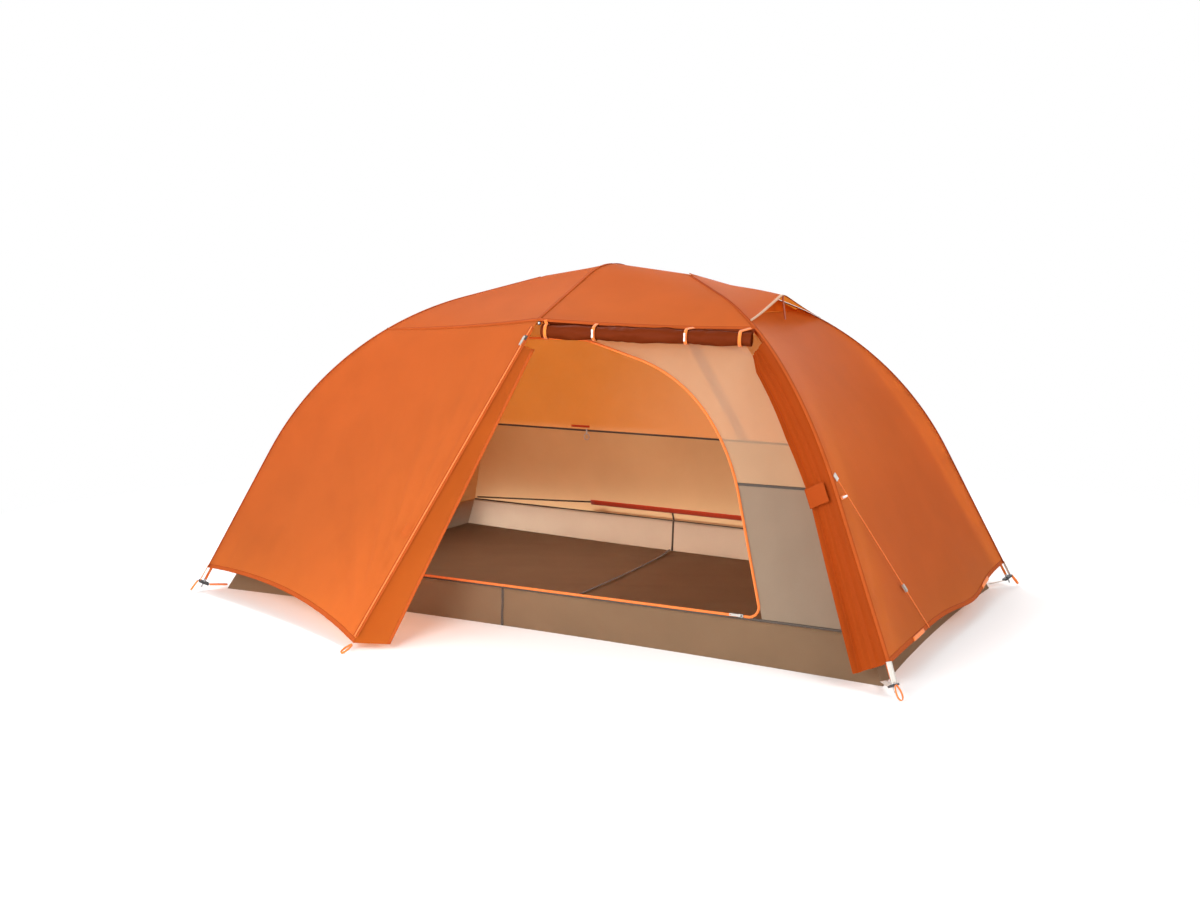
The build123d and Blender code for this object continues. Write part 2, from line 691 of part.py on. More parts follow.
def roll_size(share):
    return ROLL_R * (ROLL_WAIST + ROLL_SWELL * between_ties(share, ROLL_TIES + ROLL_END_TIES))


def over_roll(share):
    """The crosswise share of the header above a share of the roll."""
    return (ROLL_FROM.X + (ROLL_TO.X - ROLL_FROM.X) * share) / header_point(1).X


def door_roll():
    """The fly door rolled up under the header and drawn in by its loops, with its cloth up to the header."""
    sections = []
    for number in range(ROLL_STATIONS + 1):
        size = roll_size(number / ROLL_STATIONS)
        sections.append(roll_frame(number / ROLL_STATIONS) * Ellipse(size, size * ROLL_FLAT))
    top = ROLL_R * (ROLL_WAIST + ROLL_SWELL) + 0.6
    leader = panel(lambda share: header_point(over_roll(share)) - UP * 1.6,
                   lambda share: on_roll(share, -1.2, top), lambda share: 0, gap_a=0, gap_b=0)
    return Compound([loft(sections, ruled=True), leader])


def roll_loop(share):
    """A webbing loop round the rolled door, drawn up against the header."""
    size = roll_size(share)
    inner = Ellipse(size + LOOP_GAP, size * ROLL_FLAT + LOOP_GAP)
    ring = Ellipse(size + LOOP_GAP + TRIM, size * ROLL_FLAT + LOOP_GAP + TRIM) - inner
    return roll_frame(share) * extrude(ring, amount=LOOP_WIDTH / 2, both=True)


def roll_toggle_place(share):
    """A toggle's place on the front of a roll loop, local Z away from the roll."""
    frame = roll_frame(share)
    out = across(Vector(0, -1, 0), frame.z_dir)
    reach = roll_size(share) * ROLL_FLAT + LOOP_GAP + TRIM + TOGGLE_STEM / 2 + 0.4
    return Plane(frame.origin + out * reach, x_dir=frame.x_dir, z_dir=out)


def toggle(place):
    """A waisted toggle bar on a short stem, lying across its loop."""
    waist = Cylinder(5, 6) - Cylinder(2.3, 6)
    bar = Pos(0, 0, TOGGLE_STEM) * Rot(0, 90, 0) * (Cylinder(3, 24) - waist)
    return place * (bar + Cylinder(1.2, TOGGLE_STEM))


def edge_toggle_place():
    place, outward = beside_leg(EDGE_TOGGLE_Z, 0.031, CLOTH + 1.5 * TRIM + TOGGLE_STEM / 2 + 0.4)
    return Plane(place, x_dir=across(Vector(0, 1, 0), outward), z_dir=outward)


# Straps, loops and lines

def floor_corner(end, side):
    """Where a corner's strap is sewn to the floor."""
    return Vector(end * FLOOR_X, side * FLOOR_Y[end], 14)


def buckle_place(end, side):
    """The buckle on a leg's tip, local X towards the tent and local Z along the pole."""
    foot, way = LEGS[end, side] @ 1, LEGS[end, side] % 1
    inwards = floor_corner(end, side) - foot
    return Plane(foot - way * (TIP_LENGTH - TIP_SHOULDER - 6), x_dir=across(inwards, way), z_dir=way)


def buckle():
    plate = extrude(RectangleRounded(*BUCKLE, 6), amount=2.5, both=True)
    plate -= Cylinder(TIP_PIN_R + 0.5, 12)
    return plate - Pos(13, 0) * extrude(SlotOverall(16, 3, rotation=90), amount=6, both=True)


def stake_loop_places():
    """Each webbing loop's place by its name: local X runs down and out along the loop."""
    length = STAKE_LOOP[0]
    places = {}
    for end, side in LEGS:
        plate = buckle_place(end, side)
        start = plate.origin - plate.x_dir * (BUCKLE[0] / 2 + 3)
        places[f"{END_NAMES[end]}_{SIDE_NAMES[side]}"] = start, Vector(end * 0.8, side * 0.6, 0)
    for side in (FRONT, BACK):
        _, foot = zip_line(side)
        out = unit(Vector(foot.X, foot.Y, 0))
        places[f"vestibule_{SIDE_NAMES[side]}"] = foot + out * 3 - UP * 3, out
    for name, (start, out) in places.items():
        drop = start.Z - 3
        way = out * math.sqrt(length * length - drop * drop) - UP * drop
        places[name] = Plane(start + way / 2, x_dir=way, z_dir=across(UP, way))
    return places


def corner_parts():
    """At each pole foot: the tip's buckle, the straps of the floor and of the fly, and the stake loops."""
    buckles, straps = [], []
    for end, side in LEGS:
        route = LEGS[end, side]
        plate = buckle_place(end, side)
        buckles.append(plate * buckle())
        corner = floor_corner(end, side)
        edge = plate.origin + plate.x_dir * (BUCKLE[0] / 2 + 2)
        straps.append(ribbon(corner + unit(edge - corner) * 5, edge, 16, TRIM, plate.z_dir))
        out = leg_outward(end, side, 1)
        high = (route @ share_at(route, "Z", HEM_Z - 4)) + out * SEAM_LIFT
        low = plate.origin - plate.x_dir * (BUCKLE[0] / 2 - 3) - plate.z_dir * 4.5
        straps.append(ribbon(high, low, 16, TRIM, out))
    length, width = STAKE_LOOP
    loop = extrude(SlotOverall(length, width) - SlotOverall(length - 6, width - 6), amount=1.0, both=True)
    return {"corner_buckles": Compound(buckles), "corner_straps": Compound(straps),
            "stake_loops": Compound([place * loop for place in stake_loop_places().values()])}


def on_hem(end, crosswise, off):
    """A point off an end panel at its hem, and the way out there."""
    return on_panel(end_edges(end), 1, crosswise, end_draw(1), off)


def hem_loops():
    """Webbing on the end hems, a pair at each end."""
    straps = []
    for end in (HEAD, FOOT):
        for crosswise in (0.18, 0.74):
            start, outward = on_hem(end, crosswise, CLOTH + TRIM)
            stop, _ = on_hem(end, crosswise + 0.08, CLOTH + TRIM)
            straps.append(ribbon(start, stop, 12, TRIM, outward))
    return straps


def guy_ends():
    """The guyline's ends: at the tie-out on the foot-end leg and at the end hem."""
    top, _ = beside_leg(GUY_Z, 0.03, CLOTH + TRIM + GUY_R + 1)
    hem, _ = on_hem(FOOT, GUY_HEM, CLOTH + GUY_R)
    return top, hem


def guyline():
    start, end = guy_ends()
    return rod(start, end, GUY_R)


def tie_out():
    """The cloth patch that the guyline is sewn to."""
    start, end = guy_ends()
    way = unit(end - start)
    outward = across(Vector(1, -0.25, 0.4), way)
    below = outward * -0.4
    return ribbon(start - way * 22 + below, start - way + below, 14, TRIM, outward)


def tensioner():
    """A flat line tensioner with the guyline through it."""
    start, end = guy_ends()
    way = unit(end - start)
    plate = extrude(RectangleRounded(26, 11, 4), amount=2.6, both=True)
    plate -= Rot(0, 90, 0) * Cylinder(GUY_R + 0.5, 30)
    plate -= Pos(0, 3.9) * Cylinder(0.9, 10)
    outward = across(Vector(1, 0, 0.4), way)
    return Plane(start + (end - start) * TENSIONER_SHARE, x_dir=way, z_dir=outward) * plate


def pole_clips():
    """Clips that hang the inner tent on the poles, each a hook and its strap."""
    clips = []
    for end, side in LEGS:
        route = LEGS[end, side]
        for up in (0.12, 0.4, 0.7):
            inner = wall_edge(end, up, side)
            share = share_at(route, "Z", inner.Z + 6)
            clips.append(pole_clip(route @ share, route % share, inner))
    for x in (-150, 150):
        share = 0.5 + x / RIDGE.length
        inner = Vector(x, 0, HUB_Z - INNER_DROP + 6)
        clips.append(pole_clip(RIDGE @ share, RIDGE % share, inner))
    return Compound(clips)


def pole_clip(axis, way, inner):
    """A hook open away from the inner tent, with a strap to the inner tent's seam."""
    to_inner = across(inner - axis, way)
    reach = (inner - axis).dot(to_inner) - 5
    hook = Cylinder(POLE_R + 2.4, 12) - Cylinder(POLE_R + RUNNING_FIT, 12) - Pos(-8, 0) * Box(12, 6.4, 12)
    near = POLE_R + 1
    strap = Pos((near + reach) / 2, 0) * Box(reach - near, TRIM, LOOP_WIDTH)
    return Plane(axis, x_dir=to_inner, z_dir=way) * (hook + strap)


def keeper_tab():
    """The door keeper's webbing on the back wall's seam, inside the tent."""
    start = wall_point(BACK, KEEPER_X - 70, KEEPER_UP, TRIM_OFF)
    end = wall_point(BACK, KEEPER_X + 14, KEEPER_UP, TRIM_OFF)
    return ribbon(start, end, 9, TRIM, wall_plane(BACK).z_dir)


def keeper_ring_top():
    return wall_point(BACK, KEEPER_X, KEEPER_UP - 8, 5)


def keeper_ring():
    """A ring on a short tape, hung from the keeper tab."""
    top = keeper_ring_top()
    tape = Pos(0, 0, -11) * Box(6, 1.4, 22)
    ring = Pos(0, 0, -33) * Rot(90, 0, 0) * Torus(11.5, 1.7)
    return Pos(top) * (tape + ring)


def zip_guard():
    """The strip that covers the back door's zip along the floor, inside the tent."""
    start = wall_point(BACK, DOOR_HINGE_X, GUARD_UP, TRIM_OFF)
    end = wall_point(BACK, DOOR_X - 20, GUARD_UP, TRIM_OFF)
    return ribbon(start, end, GUARD_WIDTH, TRIM, wall_plane(BACK).z_dir)


def nodes():
    """Every piece of the tent by its name."""
    parts = poles()
    parts["hubs"] = Compound([hub(HEAD), hub(FOOT)])
    parts["brow_swivel"] = brow_swivel()
    parts["pole_ferrules"] = ferrules()
    parts["pole_tips"] = pole_tips()
    parts["floor_tub"] = floor_tub()
    for side in (FRONT, BACK):
        parts.update(wall_panels(side))
        parts[f"inner_{SIDE_NAMES[side]}_slider"] = slider(door_slider_place(side))
        parts[f"inner_{SIDE_NAMES[side]}_pull"] = zip_pull(door_slider_place(side))
        parts[f"fly_{SIDE_NAMES[side]}_slider"] = slider(fly_slider_place(side))
        parts[f"fly_{SIDE_NAMES[side]}_pull"] = zip_pull(fly_slider_place(side))
    parts["inner_roof"] = Compound([inner_roof(FRONT), inner_roof(BACK)])
    parts["inner_zips"] = Compound([door_zip(FRONT), door_zip(BACK)])
    parts["fly_zips"] = Compound([fly_zip(FRONT), fly_zip(BACK)])
    parts["inner_ends"] = Compound(inner_end(HEAD) + inner_end(FOOT))
    for end in (HEAD, FOOT):
        name = END_NAMES[end]
        parts[f"fly_end_{name}"] = fly_end(end)
        parts[f"fly_roof_front_{name}"] = fly_roof(end)
        parts[f"fly_roof_back_{name}"] = mirrored(fly_roof(end))
        parts[f"fly_vestibule_back_{name}"] = vestibule(end, BACK)
    parts["inner_front_door"] = inner_front_door()
    parts["back_wall_trim"] = Compound([zip_guard(), keeper_tab()])
    parts["fly_ridge"] = fly_ridge()
    parts["fly_vestibule_front"] = vestibule(HEAD, FRONT)
    parts["fly_zip_flap"] = fly_zip_flap()
    parts["fly_door_edge"] = fly_door_edge()
    parts["fly_door_roll"] = door_roll()
    parts["roll_loops"] = Compound([roll_loop(share) for share in ROLL_TIES + ROLL_END_TIES])
    for name, share in zip(("left", "right"), ROLL_TIES):
        parts[f"roll_toggle_{name}"] = toggle(roll_toggle_place(share))
    parts["edge_toggle"] = toggle(edge_toggle_place())
    parts["vent_hood"], parts["vent_strut"], parts["vent_screen"] = vent_hood(), vent_strut(), vent_screen()
    parts.update(corner_parts())
    parts["fly_webbing"] = Compound(hem_loops() + [tie_out(), door_edge_tie(), edge_loop()])
    parts["guyline"], parts["line_tensioner"] = guyline(), tensioner()
    parts["pole_clips"] = pole_clips()
    parts["keeper_ring"] = keeper_ring()
    return parts


os.makedirs("parts", exist_ok=True)
for node, shape in nodes().items():
    export_step(shape, f"parts/{node}.step")
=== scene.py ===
import math
import bmesh
import bpy
import numpy as np
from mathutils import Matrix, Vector


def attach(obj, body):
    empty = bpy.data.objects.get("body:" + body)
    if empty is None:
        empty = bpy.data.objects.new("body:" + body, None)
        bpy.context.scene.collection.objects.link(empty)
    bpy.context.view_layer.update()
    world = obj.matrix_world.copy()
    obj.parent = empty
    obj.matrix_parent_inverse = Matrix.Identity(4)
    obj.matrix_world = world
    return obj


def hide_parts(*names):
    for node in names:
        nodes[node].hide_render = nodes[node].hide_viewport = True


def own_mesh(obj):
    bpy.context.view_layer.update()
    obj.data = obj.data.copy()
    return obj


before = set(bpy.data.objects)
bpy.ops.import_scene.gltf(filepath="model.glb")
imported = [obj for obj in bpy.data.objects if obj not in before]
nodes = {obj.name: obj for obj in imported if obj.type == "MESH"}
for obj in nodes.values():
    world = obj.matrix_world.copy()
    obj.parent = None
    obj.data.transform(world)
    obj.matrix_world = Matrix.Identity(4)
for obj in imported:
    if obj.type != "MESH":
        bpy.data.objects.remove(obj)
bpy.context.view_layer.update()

# Driving dimensions, in metres, as in the CAD
ENDS = HEAD, FOOT = -1, 1
SIDES = FRONT, BACK = -1, 1
HUB_X, HUB_Z = 0.274, 1.066
KNEE_X, KNEE_Z, KNEE_BEND, KNEE_SHARE = 0.800, 0.878, 1.050, 0.65
FOOT_X, FOOT_Z = 1.200, 0.011
FOOT_Y = {HEAD: 0.773, FOOT: 0.688}
BROW_Y, BROW_TIP_Z, BROW_APEX_Z, BROW_BEND = 0.478, 0.925, 1.145, 0.410
SEAM_LIFT, HEM_Z = 0.012, 0.075
HEADER_Z = {HEAD: 0.883, FOOT: 0.903}
STAKE = np.array([-0.262, -1.062, 0.024])
FLAP_FOOT = np.array([-0.178, -1.000, 0.016])
VENT_X, VENT_LAP, VENT_RISE = 0.604, 0.018, 0.081
VENT_WAY = np.array([-0.2, 0, 1]) / math.hypot(0.2, 1)
FLOOR_X, FLOOR_Y = 1.145, {HEAD: 0.705, FOOT: 0.616}
TUB_HEIGHT, TUB_LEAN_X, TUB_LEAN_Y = 0.120, 0.55, 0.32
FLOOR_BOW, FLOOR_END_BOW, TOP_BOW = 0.038, 0.018, 0.002
WALL_LEAN, WALL_TOP, MESH_START = 0.36, 0.805, 0.377
WALL_MID = (0.905, 0.370)
WALL_TOP_X = {HEAD: 0.630, FOOT: 0.624}
DOOR_HINGE_X, DOOR_HINGE_TOP_X = -0.460, -0.260
DOOR_X, DOOR_TOP_X = 0.794, 0.078
DOOR_BENDS = ((0.640, 0.455), (0.455, 0.690))
DOOR_RADII, DOOR_FOOT_RADIUS, DOOR_TOP_RADIUS = (0.700, 0.545), 0.026, 0.300
ZIP_R, ZIP_OFF, ZIP_FOOT = 0.0019, 0.0046, 0.006
INNER_DROP, INNER_RIDGE_OFF = 0.026, 0.016
ROLL_R = 0.024
ROLL_FROM = np.array([0.012, -0.480, 0.900])
ROLL_TO = np.array([0.637, -0.360, 0.883])
ROLL_TIES = (0.27, 0.72, 0.025, 0.975)
ROLL_WAIST, ROLL_SWELL, ROLL_FLAT = 0.86, 0.18, 0.88
EDGE_OFF = 0.016
TIE_Z, TIE_LENGTH, TIE_WIDTH, TIE_OFF = 0.495, 0.058, 0.056, 0.015
EDGE_TOGGLE_Z, GUY_Z, GUY_HEM = 0.468, 0.510, 0.295
BUCKLE_HALF, BUCKLE_UP, STAKE_LOOP = 0.018, 0.020, 0.044
UP = np.array([0.0, 0.0, 1.0])
ALONG_X = np.array([1.0, 0.0, 0.0])
MIDDLE = np.array([0.0, 0.0, 0.4])


# Directions and easing

def unit(v):
    v = np.asarray(v, float)
    return v / np.maximum(np.linalg.norm(v, axis=-1, keepdims=True), 1e-12)


def across(v, axis):
    """The part of v that is square to axis, at unit length."""
    axis = unit(axis)
    v = np.asarray(v, float)
    return unit(v - axis * np.sum(v * axis, axis=-1, keepdims=True))


def tangent(points):
    return unit(np.gradient(points, axis=0))


def smooth(x):
    x = np.clip(x, 0, 1)
    return x * x * (3 - 2 * x)


def inside(x, margin):
    """1 well between 0 and 1, easing to 0 over a margin at both."""
    return smooth(x / margin) * smooth((1 - x) / margin)


def belly(x):
    """0 at 0 and 1, and 1 half way."""
    return np.sin(np.pi * x)


def mirror_y(points):
    return points * np.array([1.0, -1.0, 1.0])


def facing(side, points):
    """Points made for the front, on the side asked for."""
    return points if side == FRONT else mirror_y(points)


# Lines in space

class Route:
    """A line of straight runs with rounded corners, read by its share of the length."""

    ARC_POINTS = 49

    def __init__(self, points, radii=()):
        points = [np.asarray(p, float) for p in points]
        run = [points[0]]
        for i, radius in enumerate(radii):
            before, corner, after = points[i], points[i + 1], points[i + 2]
            a, b = unit(before - corner), unit(after - corner)
            half = math.acos(float(np.clip(a @ b, -1, 1))) / 2
            reach = radius / math.tan(half)
            centre = corner + unit(a + b) * radius / math.sin(half)
            start, end = corner + a * reach - centre, corner + b * reach - centre
            turn = math.pi - 2 * half
            for k in np.linspace(0, 1, self.ARC_POINTS):
                spoke = start * math.sin((1 - k) * turn) + end * math.sin(k * turn)
                run.append(centre + spoke / math.sin(turn))
        run.append(points[-1])
        self.run = np.array(run)
        steps = np.linalg.norm(np.diff(self.run, axis=0), axis=1)
        self.far = np.concatenate([[0], np.cumsum(steps)])
        self.length = self.far[-1]

    def at(self, share):
        d = np.asarray(share, float) * self.length
        return np.stack([np.interp(d, self.far, axis) for axis in self.run.T], axis=-1)

    def way(self, share, step=0.004):
        share = np.asarray(share, float)
        return unit(self.at(np.minimum(share + step, 1)) - self.at(np.maximum(share - step, 0)))

    def share(self, axis, value):
        """The share at which the line reaches a value of one axis."""
        shares = np.linspace(0, 1, 4001)
        values = self.at(shares)[:, axis]
        if values[-1] < values[0]:
            shares, values = shares[::-1], values[::-1]
        return float(np.interp(value, values, shares))


LEGS = {}
for end in ENDS:
    for side in SIDES:
        hub = (end * HUB_X, 0, HUB_Z)
        knee = (end * KNEE_X, side * KNEE_SHARE * FOOT_Y[end], KNEE_Z)
        tip = (end * FOOT_X, side * FOOT_Y[end], FOOT_Z)
        LEGS[end, side] = Route([hub, knee, tip], (KNEE_BEND,))
DOOR_LEG = LEGS[FOOT, FRONT]
BROW = Route([(0, -BROW_Y, BROW_TIP_Z), (0, 0, BROW_APEX_Z), (0, BROW_Y, BROW_TIP_Z)], (BROW_BEND,))
HEADER = {end: LEGS[end, FRONT].share(2, HEADER_Z[end]) for end in ENDS}
HEM = {end: LEGS[end, FRONT].share(2, HEM_Z) for end in ENDS}
VENT = DOOR_LEG.share(0, VENT_X)


def leg_outward(end, side, share):
    leg = LEGS[end, side]
    bend = leg.at(0.5) - (leg.at(0) + leg.at(1)) / 2
    return across(np.broadcast_to(bend, np.shape(share) + (3,)), leg.way(share))


def leg_seam(end, side, share, lift=SEAM_LIFT):
    return LEGS[end, side].at(share) + leg_outward(end, side, share) * lift


def brow_seam(side, share):
    along = 0.5 + side * np.asarray(share, float) / 2
    way = BROW.way(along)
    return BROW.at(along) + across(np.broadcast_to(UP, way.shape), way) * SEAM_LIFT


def straight(a, b):
    return lambda s: np.asarray(a) + (np.asarray(b) - np.asarray(a)) * np.asarray(s)[..., None]


# Cloth as grids of points

def share_grid(rows, columns):
    return np.meshgrid(np.linspace(0, 1, rows), np.linspace(0, 1, columns), indexing="ij")


def stretch(edge_a, edge_b, s, t, draw):
    """Cloth between two edges, drawn in between them. Returns its points and its outward directions."""
    a, b = edge_a(s), edge_b(s)
    before, after = np.clip(s - 0.01, 0, 1), np.clip(s + 0.01, 0, 1)
    along = edge_a(after) + edge_b(after) - edge_a(before) - edge_b(before)
    outward = unit(np.cross(unit(b - a), along))
    flip = np.sign(np.sum(outward * ((a + b) / 2 - MIDDLE), axis=-1, keepdims=True))
    outward = outward * np.where(flip == 0, 1, flip)
    points = a + (b - a) * t[..., None] - outward * (4 * draw * t * (1 - t))[..., None]
    return points, outward


def waves(x, lengths, seed):
    """A sum of sines of the given lengths, with fixed phases and weights."""
    draw = np.random.default_rng(seed).uniform
    total = sum(np.sin(2 * np.pi * x / length + draw(0, 7)) * draw(0.5, 1) for length in lengths)
    return total / len(lengths)


def fan(points, apex, ref, other, folds, near, far):
    """Folds that spread from a pulled corner: each is (angle, width, height)."""
    v = points - apex
    e1 = unit(ref - apex)
    e2 = across(other - apex, e1)
    distance = np.linalg.norm(v, axis=-1)
    angle = np.arctan2(v @ e2, v @ e1)
    height = sum(h * np.exp(-((angle - c) / w) ** 2) for c, w, h in folds)
    return height * smooth(distance / near) * (1 - smooth((distance - near) / (far - near)))


def strip(points, sides, width, rows=3):
    """A band along a line of points, with its width along sides."""
    t = np.linspace(-0.5, 0.5, rows)
    return points[:, None] + np.broadcast_to(sides, points.shape)[:, None] * (t * width)[None, :, None]


def ribbon(start, end, width, face, count=12, sag=0.0, rows=4):
    """A flat strap between two points."""
    s = np.linspace(0, 1, count)
    normal = across(face, end - start)
    points = start + (end - start) * s[:, None] - normal * (4 * sag * s * (1 - s))[:, None]
    return strip(points, np.cross(unit(end - start), normal), width, rows)


def tube(points, radius, sides=8):
    """A round tube along points, as a closed grid."""
    way = tangent(points)
    frames = [across([0.3, 0.2, 1.0], way[0])]
    for w in way[1:]:
        frames.append(across(frames[-1], w))
    frames = np.array(frames)
    other = np.cross(way, frames)
    angle = np.linspace(0, 2 * np.pi, sides + 1)
    spokes = frames[:, None] * np.cos(angle)[None, :, None] + other[:, None] * np.sin(angle)[None, :, None]
    return points[:, None] + radius * spokes


# Pieces from grids
JOIN_GAP, SLIVER, CREASE_ANGLE = 0.0001, 0.00001, math.radians(50)


def cut_lengths(grid):
    """Distances across and along a grid of points, measured on the cloth."""
    n, m = grid.shape[:2]
    u = np.zeros((n, m))
    v = np.zeros((n, m))
    u[:, 1:] = np.cumsum(np.linalg.norm(np.diff(grid, axis=1), axis=-1), axis=1)
    v[1:] = np.cumsum(np.linalg.norm(np.diff(grid, axis=0), axis=-1), axis=0)
    half = slice(m // 2, m // 2 + 1)
    return u - u[:, half], np.broadcast_to(v[:, half], (n, m))


def cloth_mesh(name, patches):
    """One mesh from grids of points, joined where their edges meet."""
    bm = bmesh.new()
    uv = bm.loops.layers.uv.new("cut")
    for grid in patches:
        n, m = grid.shape[:2]
        u, v = cut_lengths(grid)
        verts = [[bm.verts.new(grid[i, j]) for j in range(m)] for i in range(n)]
        for i in range(n - 1):
            for j in range(m - 1):
                corners = ((i, j), (i, j + 1), (i + 1, j + 1), (i + 1, j))
                face = bm.faces.new([verts[a][b] for a, b in corners])
                face.smooth = True
                for loop, (a, b) in zip(face.loops, corners):
                    loop[uv].uv = (u[a, b], v[a, b])
    bmesh.ops.remove_doubles(bm, verts=bm.verts, dist=JOIN_GAP)
    bmesh.ops.dissolve_degenerate(bm, edges=bm.edges, dist=SLIVER)
    bmesh.ops.recalc_face_normals(bm, faces=bm.faces)
    mesh = bpy.data.meshes.new(name)
    bm.to_mesh(mesh)
    bm.free()
    mesh.set_sharp_from_angle(angle=CREASE_ANGLE)
    return mesh


def dress(name, patches, material, replaced=(), thickness=0.0, offset=0.0):
    """A soft piece on the tent, over the solids that it stands for."""
    mesh = cloth_mesh(name, patches)
    mesh.materials.append(material)
    piece = bpy.data.objects.new(name, mesh)
    bpy.context.scene.collection.objects.link(piece)
    if thickness:
        solid = piece.modifiers.new("thickness", "SOLIDIFY")
        solid.thickness = thickness
        solid.offset = offset
        solid.use_even_offset = False
    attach(piece, "tent")
    if replaced:
        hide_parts(*replaced)
    return piece


# Materials
WAVE_UNIT = 0.314
CLOTH_GLOSS = 0.03


def srgb(r, g, b):
    c = np.array([r, g, b]) / 255
    return tuple(np.where(c <= 0.04045, c / 12.92, ((c + 0.055) / 1.055) ** 2.4)) + (1.0,)


def shade(color, k):
    return tuple(min(c * k, 1.0) for c in color[:3]) + (1.0,)


class Tree:
    """A material's node tree, with short ways to add and link nodes."""

    def __init__(self, name):
        self.material = bpy.data.materials.new(name)
        self.material.use_nodes = True
        self.tree = self.material.node_tree
        self.tree.nodes.clear()
        self.out = self.add("ShaderNodeOutputMaterial")

    def add(self, kind, links=(), **values):
        node = self.tree.nodes.new(kind)
        for key, value in values.items():
            if key.startswith("in_"):
                node.inputs[key[3:].replace("_", " ")].default_value = value
            else:
                setattr(node, key, value)
        for socket, source in dict(links).items():
            self.tree.links.new(source, node.inputs[socket])
        return node

    def feed(self, node, inputs):
        for index, value in inputs:
            if hasattr(value, "is_output"):
                self.tree.links.new(value, node.inputs[index])
            else:
                node.inputs[index].default_value = value

    def mix(self, fac, a, b):
        node = self.add("ShaderNodeMix", data_type="RGBA")
        self.feed(node, ((0, fac), (6, a), (7, b)))
        return node.outputs[2]

    def math(self, operation, a, b=0.0):
        node = self.add("ShaderNodeMath", operation=operation)
        self.feed(node, ((0, a), (1, b)))
        return node.outputs[0]

    def done(self, surface):
        self.tree.links.new(surface.outputs[0], self.out.inputs["Surface"])
        return self.material


def cloth(name, color, glow, through=0.5, rough=0.55, hole=0.0, pitch=0.005, grid=0.10, creases=0.25):
    """Ripstop or netting: a faint grid and creases, light coming through, and open holes for netting."""
    t = Tree(name)
    where = t.add("ShaderNodeTexCoord")
    cut, place = where.outputs["UV"], where.outputs["Object"]
    cloud = t.add("ShaderNodeTexNoise", {"Vector": place}, in_Scale=6.0, in_Detail=4.0)
    fine = t.add("ShaderNodeTexNoise", {"Vector": cut}, in_Scale=1400.0, in_Detail=2.0)
    threads = []
    for direction in ("X", "Y"):
        wave = t.add("ShaderNodeTexWave", {"Vector": cut}, wave_type="BANDS", bands_direction=direction,
                     in_Scale=WAVE_UNIT / pitch)
        threads.append(t.math("POWER", wave.outputs["Fac"], 12.0))
    ripstop = t.math("MAXIMUM", *threads)
    tone = t.mix(cloud.outputs["Fac"], shade(color, 0.88), shade(color, 1.10))
    tone = t.mix(t.math("MULTIPLY", ripstop, grid), tone, shade(color, 0.70))
    crease = t.add("ShaderNodeTexNoise", {"Vector": place}, in_Scale=28.0, in_Detail=5.0, in_Distortion=1.2)
    height = t.math("ADD", t.math("MULTIPLY", crease.outputs["Fac"], creases),
                    t.math("MULTIPLY", fine.outputs["Fac"], 0.05))
    height = t.math("ADD", height, t.math("MULTIPLY", ripstop, 0.03))
    bump = t.add("ShaderNodeBump", {"Height": height}, in_Strength=0.35, in_Distance=0.006)
    normal = bump.outputs["Normal"]
    face = t.add("ShaderNodeBsdfPrincipled", {"Base Color": tone, "Normal": normal},
                 in_Roughness=rough, in_Specular_IOR_Level=CLOTH_GLOSS)
    glow_tone = t.mix(cloud.outputs["Fac"], shade(glow, 0.92), shade(glow, 1.06))
    light = t.add("ShaderNodeBsdfTranslucent", {"Color": glow_tone, "Normal": normal})
    surface = t.add("ShaderNodeMixShader", {1: face.outputs[0], 2: light.outputs[0]}, in_Fac=through)
    if hole:
        gap = t.add("ShaderNodeBsdfTransparent")
        share = t.math("ADD", hole - 0.04, t.math("MULTIPLY", fine.outputs["Fac"], 0.08))
        surface = t.add("ShaderNodeMixShader", {0: share, 1: surface.outputs[0], 2: gap.outputs[0]})
    return t.done(surface)


def webbing(name, color, pitch=0.0022):
    """Woven tape with ribs across it."""
    t = Tree(name)
    where = t.add("ShaderNodeTexCoord")
    ribs = t.add("ShaderNodeTexWave", {"Vector": where.outputs["UV"]}, wave_type="BANDS", bands_direction="Y",
                 in_Scale=WAVE_UNIT / pitch, in_Distortion=0.6)
    wear = t.add("ShaderNodeTexNoise", {"Vector": where.outputs["Object"]}, in_Scale=90.0, in_Detail=4.0)
    tone = t.mix(wear.outputs["Fac"], shade(color, 0.82), shade(color, 1.12))
    tone = t.mix(t.math("MULTIPLY", ribs.outputs["Fac"], 0.18), tone, shade(color, 0.55))
    bump = t.add("ShaderNodeBump", {"Height": ribs.outputs["Fac"]}, in_Strength=0.4, in_Distance=0.0006)
    face = t.add("ShaderNodeBsdfPrincipled", {"Base Color": tone, "Normal": bump.outputs["Normal"]},
                 in_Roughness=0.72, in_Sheen_Weight=0.2)
    return t.done(face)


def hard(name, color, rough, metallic=0.0, grain=120.0, coat=0.0):
    """Metal or plastic with a little wear in its tone and gloss."""
    t = Tree(name)
    where = t.add("ShaderNodeTexCoord")
    wear = t.add("ShaderNodeTexNoise", {"Vector": where.outputs["Object"]}, in_Scale=grain, in_Detail=5.0)
    tone = t.mix(wear.outputs["Fac"], shade(color, 0.86), shade(color, 1.1))
    roughness = t.math("ADD", rough - 0.06, t.math("MULTIPLY", wear.outputs["Fac"], 0.12))
    bump = t.add("ShaderNodeBump", {"Height": wear.outputs["Fac"]}, in_Strength=0.08, in_Distance=0.0004)
    links = {"Base Color": tone, "Roughness": roughness, "Normal": bump.outputs["Normal"]}
    face = t.add("ShaderNodeBsdfPrincipled", links, in_Metallic=metallic, in_Coat_Weight=coat)
    return t.done(face)


